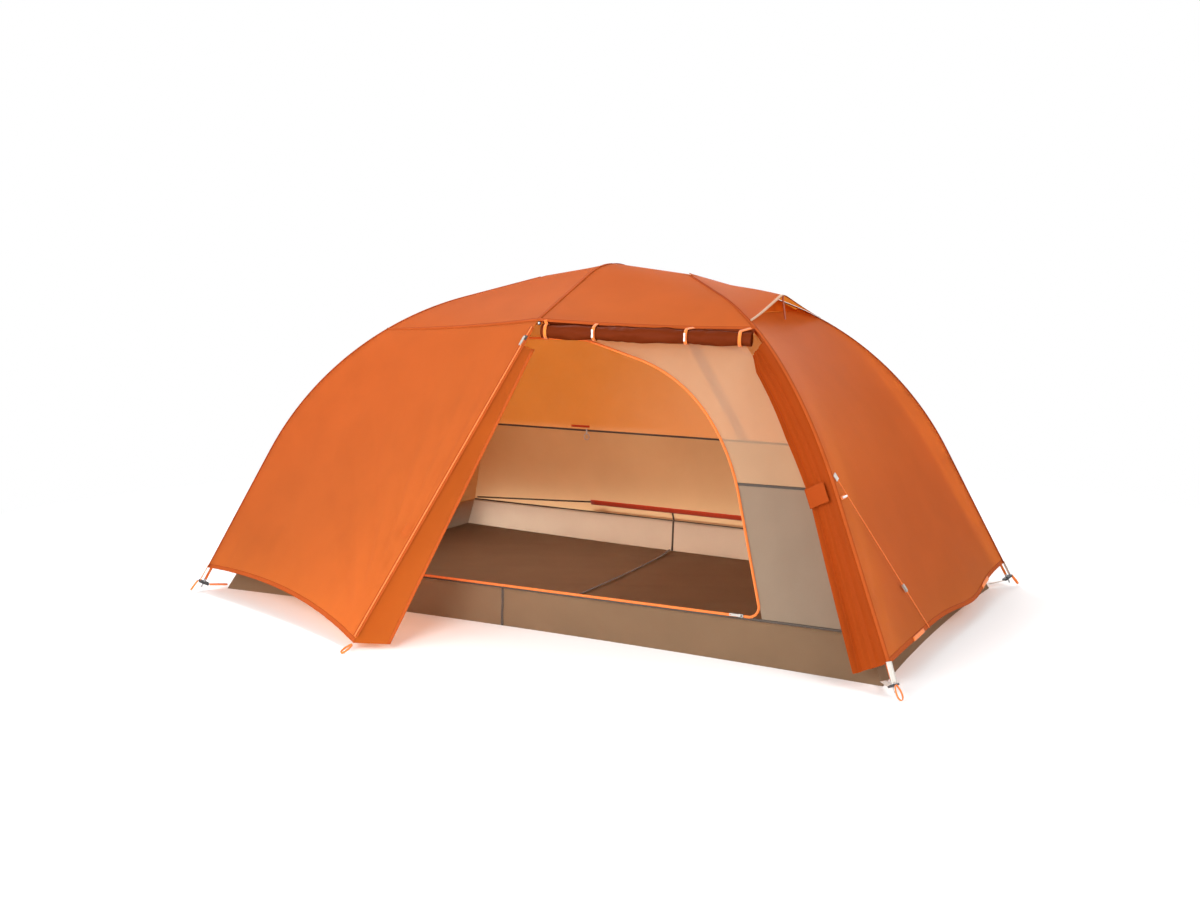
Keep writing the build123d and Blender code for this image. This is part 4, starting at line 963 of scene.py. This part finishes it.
def tub_floor():
    """The floor between its four bowed edges, lightly crumpled."""
    gx, gy = share_grid(TUB_LONG, TUB_SHORT)
    floor = np.zeros(gx.shape + (3,))
    for side, share_y in ((FRONT, 1 - gy), (BACK, gy)):
        floor = floor + share_y[..., None] * tub_edge(side, 0.0, True)(gx)
    for end, share_x in ((HEAD, 1 - gx), (FOOT, gx)):
        floor = floor + share_x[..., None] * tub_edge(end, 0.0, False)(gy)
        for side, share_y in ((FRONT, 1 - gy), (BACK, gy)):
            corner = tub_edge(side, 0.0, True)(np.array(0.0 if end == HEAD else 1.0))
            floor = floor - (share_x * share_y)[..., None] * corner
    crumple = (waves(gx * 2.3 + gy * 0.9, CRUMPLE_LENGTHS[0], 31)
               + waves(gx * 1.1 - gy * 1.3, CRUMPLE_LENGTHS[1], 32)) * 0.5 + 0.6
    floor[..., 2] += np.clip(crumple, 0, 2) * CRUMPLE * inside(gx, 0.05) * inside(gy, 0.06)
    return floor


def tub_wall(key, lengthwise):
    """A wall of the tub, stacked from its edge at each height, puffed a little between its seams."""
    k = np.linspace(0, 1, TUB_LONG if lengthwise else TUB_SHORT)
    heights = np.linspace(0, TUB_HEIGHT, TUB_ROWS)
    wall = np.array([tub_edge(key, z, lengthwise)(k) for z in heights])
    rise = heights[:, None]
    puff = waves(k * 2.2 + rise * 0.8, PUFF_LENGTHS, 40 + key) * TUB_PUFF * inside(k, 0.05)
    outward = np.array([0, key, 0] if lengthwise else [key, 0, 0])
    return wall + outward * (belly(rise / TUB_HEIGHT) * puff)[..., None]


tub_sides = {side: tub_wall(side, True) for side in SIDES}
tub_ends = [tub_wall(end, False) for end in ENDS]
tub = dress("floor_tub", [tub_floor(), *tub_sides.values(), *tub_ends], TUB, ("floor_tub",),
            thickness=TUB_THICK, offset=1.0)

# Inner door zips, up from the floor, round the curve and back along the wall's top
ZIP_TOP = WALL_TOP - ZIP_FOOT
ZIP_START_X, ZIP_CORNER_X, ZIP_STOP_X = DOOR_HINGE_X + 0.005, DOOR_X - 0.002, DOOR_HINGE_TOP_X + 0.008
ZIP_RADII = (DOOR_FOOT_RADIUS, *DOOR_RADII, DOOR_TOP_RADIUS)
ZIP_TAPE, ZIP_TAPE_OFF = 0.0075, 0.0026


def zip_route(side):
    last_x, last_up = DOOR_BENDS[-1]
    turn_x = last_x + (DOOR_TOP_X - last_x) * (ZIP_TOP - last_up) / (WALL_TOP - last_up)
    marks = ((ZIP_START_X, ZIP_FOOT), (ZIP_CORNER_X, ZIP_FOOT), *DOOR_BENDS, (turn_x, ZIP_TOP),
             (ZIP_STOP_X, ZIP_TOP))
    return Route([wall_point(side, x, up) for x, up in marks], ZIP_RADII)


coils, tapes = [], []
for side in SIDES:
    run, k = zip_route(side), np.linspace(0, 1, 300)
    normal = wall_frame(side)[3] * -side
    coils.append(tube(run.at(k) + normal * ZIP_OFF, ZIP_R))
    tapes.append(strip(run.at(k) + normal * ZIP_TAPE_OFF, np.cross(run.way(k), normal), ZIP_TAPE))
dress("inner_zip_coil", coils, COIL, ("inner_zips",))
dress("inner_zip_tape", tapes, ORANGE, thickness=TAPE_THICK)

# Red strips on the back wall: the zip's guard, and the tab that holds the keeper ring
GUARD_UP, GUARD_WIDTH, GUARD_STOP = 0.048, 0.022, DOOR_X - 0.02
TAB_AT, TAB_FROM, TAB_TO, TAB_WIDTH = (-0.405, 0.395), -0.07, 0.014, 0.009
TRIM_OFF, TRIM_THICK = 0.003, 0.0012
BACK_NORMAL = wall_frame(BACK)[3]
guard_ends = [wall_point(BACK, x, GUARD_UP, TRIM_OFF) for x in (DOOR_HINGE_X, GUARD_STOP)]
guard = ribbon(*guard_ends, GUARD_WIDTH, BACK_NORMAL, 60)
tab_at = wall_point(BACK, *TAB_AT, TRIM_OFF)
tab = ribbon(tab_at + ALONG_X * TAB_FROM, tab_at + ALONG_X * TAB_TO, TAB_WIDTH, BACK_NORMAL)
dress("back_wall_trim", [guard, tab], RED, ("back_wall_trim",), thickness=TRIM_THICK)

# Dark seams: where netting meets cloth, round the tub's top, on the back wall, and across the floor
MESH_SEAM, TUB_SEAM, BACK_SEAM, FLOOR_SEAM = 0.008, 0.007, 0.007, 0.008
MESH_SEAM_OFF, TUB_SEAM_LIFT, TUB_SEAM_UP, BACK_SEAM_OFF = 0.0012, 0.0015, 0.001, 0.002
FLOOR_SEAM_Z, SEAM_THICK = 0.0095, 0.0005
BACK_SEAM_FROM = (-1.06, 0.012)
# The floor's cross seam by y, then its place on the two tub walls and on the back wall by x
FLOOR_SEAM_Y = (-0.62, -0.17, 0.20, 0.46, 0.60)
FLOOR_SEAM_X = (-0.045, -0.023, -0.036, -0.056, -0.086)
TUB_SEAM_X, TUB_SEAM_OFF = {FRONT: -0.048, BACK: -0.086}, {FRONT: -0.0022, BACK: -0.0014}
WALL_SEAM_X, WALL_SEAM_TOP, WALL_SEAM_OFF = -0.080, 0.040, 0.0016


def wall_seams(side):
    """The seam under the netting and the seam on the tub's top, along one wall."""
    head_x, foot_x = edge_x(HEAD, MESH_START), edge_x(FOOT, MESH_START)
    spans = [(head_x, foot_x)]
    if side == FRONT:
        spans = [(head_x, hinge_x(MESH_START)), (zip_x(MESH_START), foot_x)]
    rise = wall_frame(side)[2]
    bands = []
    for left, right in spans:
        points = wall_point(side, np.linspace(left, right, 40), np.full(40, MESH_START), MESH_SEAM_OFF)
        bands.append(strip(points, rise, MESH_SEAM))
    x = np.linspace(edge_x(HEAD, 0.0), edge_x(FOOT, 0.0), 80)
    bands.append(strip(wall_point(side, x, np.full(80, TUB_SEAM_UP), TUB_SEAM_LIFT), rise, TUB_SEAM))
    return bands


def floor_seam():
    """The cross seam over the floor, up both tub walls and up the back wall to the guard strip."""
    y = np.linspace(FLOOR_SEAM_Y[0], FLOOR_SEAM_Y[-1], 60)
    lines = [np.stack([np.interp(y, FLOOR_SEAM_Y, FLOOR_SEAM_X), y, np.full(60, FLOOR_SEAM_Z)], axis=-1)]
    for side in SIDES:
        column = round((TUB_SEAM_X[side] + FLOOR_X) / (2 * FLOOR_X) * (TUB_LONG - 1))
        lines.append(tub_sides[side][:, column] + [0, TUB_SEAM_OFF[side], 0])
    up = np.linspace(0.0, WALL_SEAM_TOP, 12)
    lines.append(wall_point(BACK, np.full(12, WALL_SEAM_X), up, WALL_SEAM_OFF))
    return [strip(points, ALONG_X, FLOOR_SEAM) for points in lines]


back_seam = ribbon(wall_point(BACK, *BACK_SEAM_FROM, BACK_SEAM_OFF),
                   wall_point(BACK, DOOR_HINGE_X, GUARD_UP, BACK_SEAM_OFF), BACK_SEAM, BACK_NORMAL, 40)
dress("inner_seams", [back_seam, *wall_seams(FRONT), *wall_seams(BACK), *floor_seam()], TAPE,
      thickness=SEAM_THICK)

# Opened front door, gathered along its hinge seam and tied at half height
GATHER_FROM, GATHER_TO, GATHER_START, GATHER_LENGTH = 0.055, 0.745, 0.06, 0.68
GATHER_WAIST, GATHER_SPREAD, GATHER_TAPER = 0.066, 0.038, 0.020
GATHER_OFF, GATHER_STAND = 0.003, 0.17


def gathered_door():
    up = np.linspace(GATHER_FROM, GATHER_TO, 70)[:, None]
    share = (up - GATHER_START) / GATHER_LENGTH
    width = GATHER_WAIST + (GATHER_SPREAD - GATHER_TAPER * share) * opened(share, (0.5,))
    t = np.linspace(0, 1, 61)[None]
    fold = np.sin(t * 2 * np.pi * 3 + 0.9 * np.sin(up * 9)) * (width / 10) * smooth(t / 0.3)
    x = hinge_x(up) - GATHER_OFF - width * t
    return wall_point(FRONT, x, np.broadcast_to(up, x.shape), GATHER_OFF + GATHER_STAND * width * t + fold)


front_door = dress("inner_front_door", [gathered_door()], NET, ("inner_front_door",))

# Corner straps from the floor and the fly to the buckles, and the stake loops
STRAP_WIDTH, WEB_THICK, FLOOR_STRAP_Z, FLOOR_STRAP_STOP = 0.016, 0.0014, 0.014, BUCKLE_HALF + 0.002
FLY_STRAP_Z, FLY_STRAP_LIFT = HEM_Z + 0.006, SEAM_LIFT + 0.0016
FLY_STRAP_STOP, FLY_STRAP_UP = BUCKLE_HALF - 0.003, 0.0045
RING_SEAT, RING_OUT, RING_ASIDE, RING_FLOOR = 0.003, 0.8, 0.6, 0.003
RING_LENGTH, RING_HALF, RING_TAPER, RING_BAND = 0.0205, 0.0078, 0.25, 0.006


def corner_straps(end, side):
    """The two straps at a corner, and where its stake loop starts and points."""
    leg = LEGS[end, side]
    way = leg.way(1.0)
    corner = np.array([end * FLOOR_X, side * FLOOR_Y[end], FLOOR_STRAP_Z])
    inward = across(corner - leg.at(1.0), way)
    plate = leg.at(1.0) - way * BUCKLE_UP
    out = leg_outward(end, side, 1.0)
    high = leg.at(leg.share(2, FLY_STRAP_Z)) + out * FLY_STRAP_LIFT
    low = plate - inward * FLY_STRAP_STOP - way * FLY_STRAP_UP
    pair = [ribbon(corner, plate + inward * FLOOR_STRAP_STOP, STRAP_WIDTH, way),
            ribbon(high, low, STRAP_WIDTH, out, 14)]
    ring_way = np.array([end * RING_OUT, side * RING_ASIDE, 0])
    return pair, (plate - inward * (BUCKLE_HALF + RING_SEAT), ring_way)


def stake_loop(start, out):
    """A loop that hangs from its start down to the ground."""
    around = np.linspace(0, 2 * np.pi, 65)
    drop = start[2] - RING_FLOOR
    reach = out * math.sqrt(STAKE_LOOP ** 2 - drop ** 2) - UP * drop
    way, flat = unit(reach), across(UP, reach)
    sideways = np.sin(around) * RING_HALF * (1 + RING_TAPER * np.cos(around))
    ring = (start + reach / 2 + way * (np.cos(around) * RING_LENGTH)[:, None]
            + np.cross(flat, way) * sideways[:, None])
    return strip(ring, flat, RING_BAND)


straps, loop_starts = {HEAD: [], FOOT: []}, []
for end in ENDS:
    for side in SIDES:
        corner_pair, loop_start = corner_straps(end, side)
        straps[end] += corner_pair
        loop_starts.append(loop_start)
for side in SIDES:
    foot = zip_ends(side)[1]
    out = unit(foot * [1, 1, 0])
    loop_starts.append((foot + out * RING_SEAT - UP * RING_SEAT, out))
dress("corner_straps", straps[HEAD], ORANGE, ("corner_straps",), thickness=WEB_THICK)
dress("corner_straps_foot", straps[FOOT], GREY, thickness=WEB_THICK)
dress("stake_loops", [stake_loop(*start) for start in loop_starts], ORANGE, ("stake_loops",),
      thickness=WEB_THICK)

# Webbing on the end panels: hem loops and the toggle's loop
HEM_LOOPS, HEM_LOOP_SPAN = (0.18, 0.74), 0.08
HEM_LOOP_WIDTH, HEM_LOOP_OFF, HEM_LOOP_UP = 0.012, 0.0022, 0.005
TOGGLE_LOOP, TOGGLE_LOOP_WIDTH, TOGGLE_LOOP_OFF = (0.012, 0.050), 0.010, 0.0038


def on_end(z, crosswise, off):
    """Points off the foot-end panel, beside its front leg at a height, and the way out there."""
    share = DOOR_LEG.share(2, z)
    down = (share - VENT) / (HEM[FOOT] - VENT)
    t = np.asarray(crosswise, float)
    points, outward = stretch(lambda k: leg_seam(FOOT, FRONT, k), lambda k: leg_seam(FOOT, BACK, k),
                              np.full(t.shape, share), t, END_DRAW + END_BELLY * belly(down))
    return points + outward * off, outward


def along_hem(grid, outward, start, stop, off, count=12):
    """A line of points along an end panel's hem, and the ways out there."""
    t = np.linspace(start, stop, count) * (grid.shape[1] - 1)
    low = np.floor(t).astype(int)
    share = (t - low)[:, None]
    points = grid[-1][low] * (1 - share) + grid[-1][low + 1] * share
    return points + outward[-1][low] * off, outward[-1][low]


def hem_loop(panel, start):
    points, out = along_hem(*panel, start, start + HEM_LOOP_SPAN, HEM_LOOP_OFF)
    side = np.cross(out, tangent(points))
    return strip(points + side * (HEM_LOOP_UP * np.sign(side[:, 2:])), side, HEM_LOOP_WIDTH)


web = [hem_loop(panel, start) for panel in (end_head, end_foot) for start in HEM_LOOPS]
points, out = on_end(EDGE_TOGGLE_Z, np.linspace(*TOGGLE_LOOP, 8), TOGGLE_LOOP_OFF)
web.append(strip(points, np.cross(out, tangent(points)), TOGGLE_LOOP_WIDTH))
dress("fly_webbing", web, ORANGE, ("fly_webbing",), thickness=WEB_THICK)

# Guyline from its patch beside the leg to the hem
GUY_THICK, GUY_POINTS = 0.0025, 12
GUY_ACROSS, GUY_START_OFF, GUY_END_OFF = 0.03, 0.00605, 0.00325
PATCH_FROM, PATCH_TO, PATCH_WIDTH, PATCH_FACE = 0.022, 0.001, 0.014, (1, -0.25, 0.4)
guy_start = on_end(GUY_Z, GUY_ACROSS, GUY_START_OFF)[0]
guy_end = along_hem(*end_foot, GUY_HEM, GUY_HEM, GUY_END_OFF, 1)[0][0]
guy_way = unit(guy_end - guy_start)
patch = ribbon(guy_start - guy_way * PATCH_FROM, guy_start - guy_way * PATCH_TO, PATCH_WIDTH, PATCH_FACE)
dress("guyline_patch", [patch], GREY, thickness=WEB_THICK)
curve = bpy.data.curves.new("guyline", "CURVE")
curve.dimensions = "3D"
curve.bevel_depth = GUY_THICK / 2
curve.bevel_resolution = 3
spline = curve.splines.new("NURBS")
spline.points.add(GUY_POINTS - 1)
for i, point in enumerate(spline.points):
    point.co = (*(guy_start + (guy_end - guy_start) * i / (GUY_POINTS - 1)), 1)
spline.order_u = 3
spline.use_endpoint_u = True
curve.materials.append(ORANGE)
guyline = bpy.data.objects.new("guyline", curve)
bpy.context.scene.collection.objects.link(guyline)
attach(guyline, "tent")
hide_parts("guyline")

# Pale floor, which fades to white away from the tent
GROUND_SIZE, GROUND_Z, FADE_FROM, FADE_TO = 60, -0.001, 1.6, 3.2
bpy.ops.mesh.primitive_plane_add(size=GROUND_SIZE, location=(0, 0, GROUND_Z))
ground = bpy.context.object
ground.name = "ground"
pale_floor = Tree("pale_floor")
pale = pale_floor.add("ShaderNodeBsdfDiffuse", in_Color=(0.94, 0.94, 0.94, 1))
bright = pale_floor.add("ShaderNodeEmission", in_Color=(1, 1, 1, 1), in_Strength=1.0)
seen = pale_floor.add("ShaderNodeLightPath")
ground_place = pale_floor.add("ShaderNodeTexCoord")
distance = pale_floor.add("ShaderNodeVectorMath", {0: ground_place.outputs["Object"]}, operation="LENGTH")
fade = pale_floor.add("ShaderNodeMapRange", {"Value": distance.outputs["Value"]}, in_From_Min=FADE_FROM,
                      in_From_Max=FADE_TO)
fade_seen = pale_floor.math("MULTIPLY", fade.outputs[0], seen.outputs["Is Camera Ray"])
ground.data.materials.append(pale_floor.done(pale_floor.add(
    "ShaderNodeMixShader", {0: fade_seen, 1: pale.outputs[0], 2: bright.outputs[0]})))

# White studio sky, softer as light than as background
SKY_LIGHT, SKY_SEEN = 0.6, 1.0
world = bpy.data.worlds.new("studio")
bpy.context.scene.world = world
world.use_nodes = True
sky = world.node_tree.nodes["Background"]
sky.inputs["Color"].default_value = (1, 1, 1, 1)
sky_path = world.node_tree.nodes.new("ShaderNodeLightPath")
sky_strength = world.node_tree.nodes.new("ShaderNodeMapRange")
sky_strength.inputs["To Min"].default_value = SKY_LIGHT
sky_strength.inputs["To Max"].default_value = SKY_SEEN
world.node_tree.links.new(sky_path.outputs["Is Camera Ray"], sky_strength.inputs["Value"])
world.node_tree.links.new(sky_strength.outputs[0], sky.inputs["Strength"])


def area_light(name, where, target, size, power, height=None):
    data = bpy.data.lights.new(name, "AREA")
    data.energy, data.size = power, size
    if height:
        data.shape, data.size_y = "RECTANGLE", height
    lamp = bpy.data.objects.new(name, data)
    lamp.location = where
    lamp.rotation_euler = (Vector(target) - Vector(where)).to_track_quat("-Z", "Y").to_euler()
    bpy.context.scene.collection.objects.link(lamp)
    lamp.visible_camera = False


area_light("key", (-2.2, -4.4, 2.4), (0, 0, 0.5), 3.0, 66)
area_light("fill", (0.3, -3.4, 1.2), (-0.2, 0.3, 0.1), 1.2, 70)
area_light("right", (4.2, -1.6, 2.6), (0.8, 0, 0.5), 2.0, 96)
area_light("top", (-1.8, 0.7, 3.6), (0, 0, 0.6), 1.0, 80)
area_light("back", (-0.3, 4.2, 2.4), (0, 0, 0.5), 3.0, 104)
area_light("inside", (-0.50, 0.08, 0.50), (-0.50, 0.08, 0.0), 0.8, 2.4)
area_light("under_back", (-0.15, 0.79, 0.06), (-0.15, 0.60, 0.07), 1.8, 4.4, 0.06)

# Camera at the photo's angle, with its focal length in the photo's pixels
PHOTO_WIDTH, FOCAL_PIXELS, SENSOR = 1200, 1216.5, 36
CAMERA_AT, CAMERA_DOWN, CAMERA_TURN = (2.0347, -3.6387, 1.0125), 7.30, 29.92
camera_data = bpy.data.cameras.new("camera")
camera_data.sensor_width = SENSOR
camera_data.lens = SENSOR * FOCAL_PIXELS / PHOTO_WIDTH
camera = bpy.data.objects.new("camera", camera_data)
camera.location = CAMERA_AT
camera.rotation_euler = (math.radians(90 - CAMERA_DOWN), 0, math.radians(CAMERA_TURN))
bpy.context.scene.collection.objects.link(camera)
bpy.context.scene.camera = camera
bpy.context.scene.view_settings.view_transform = "Standard"
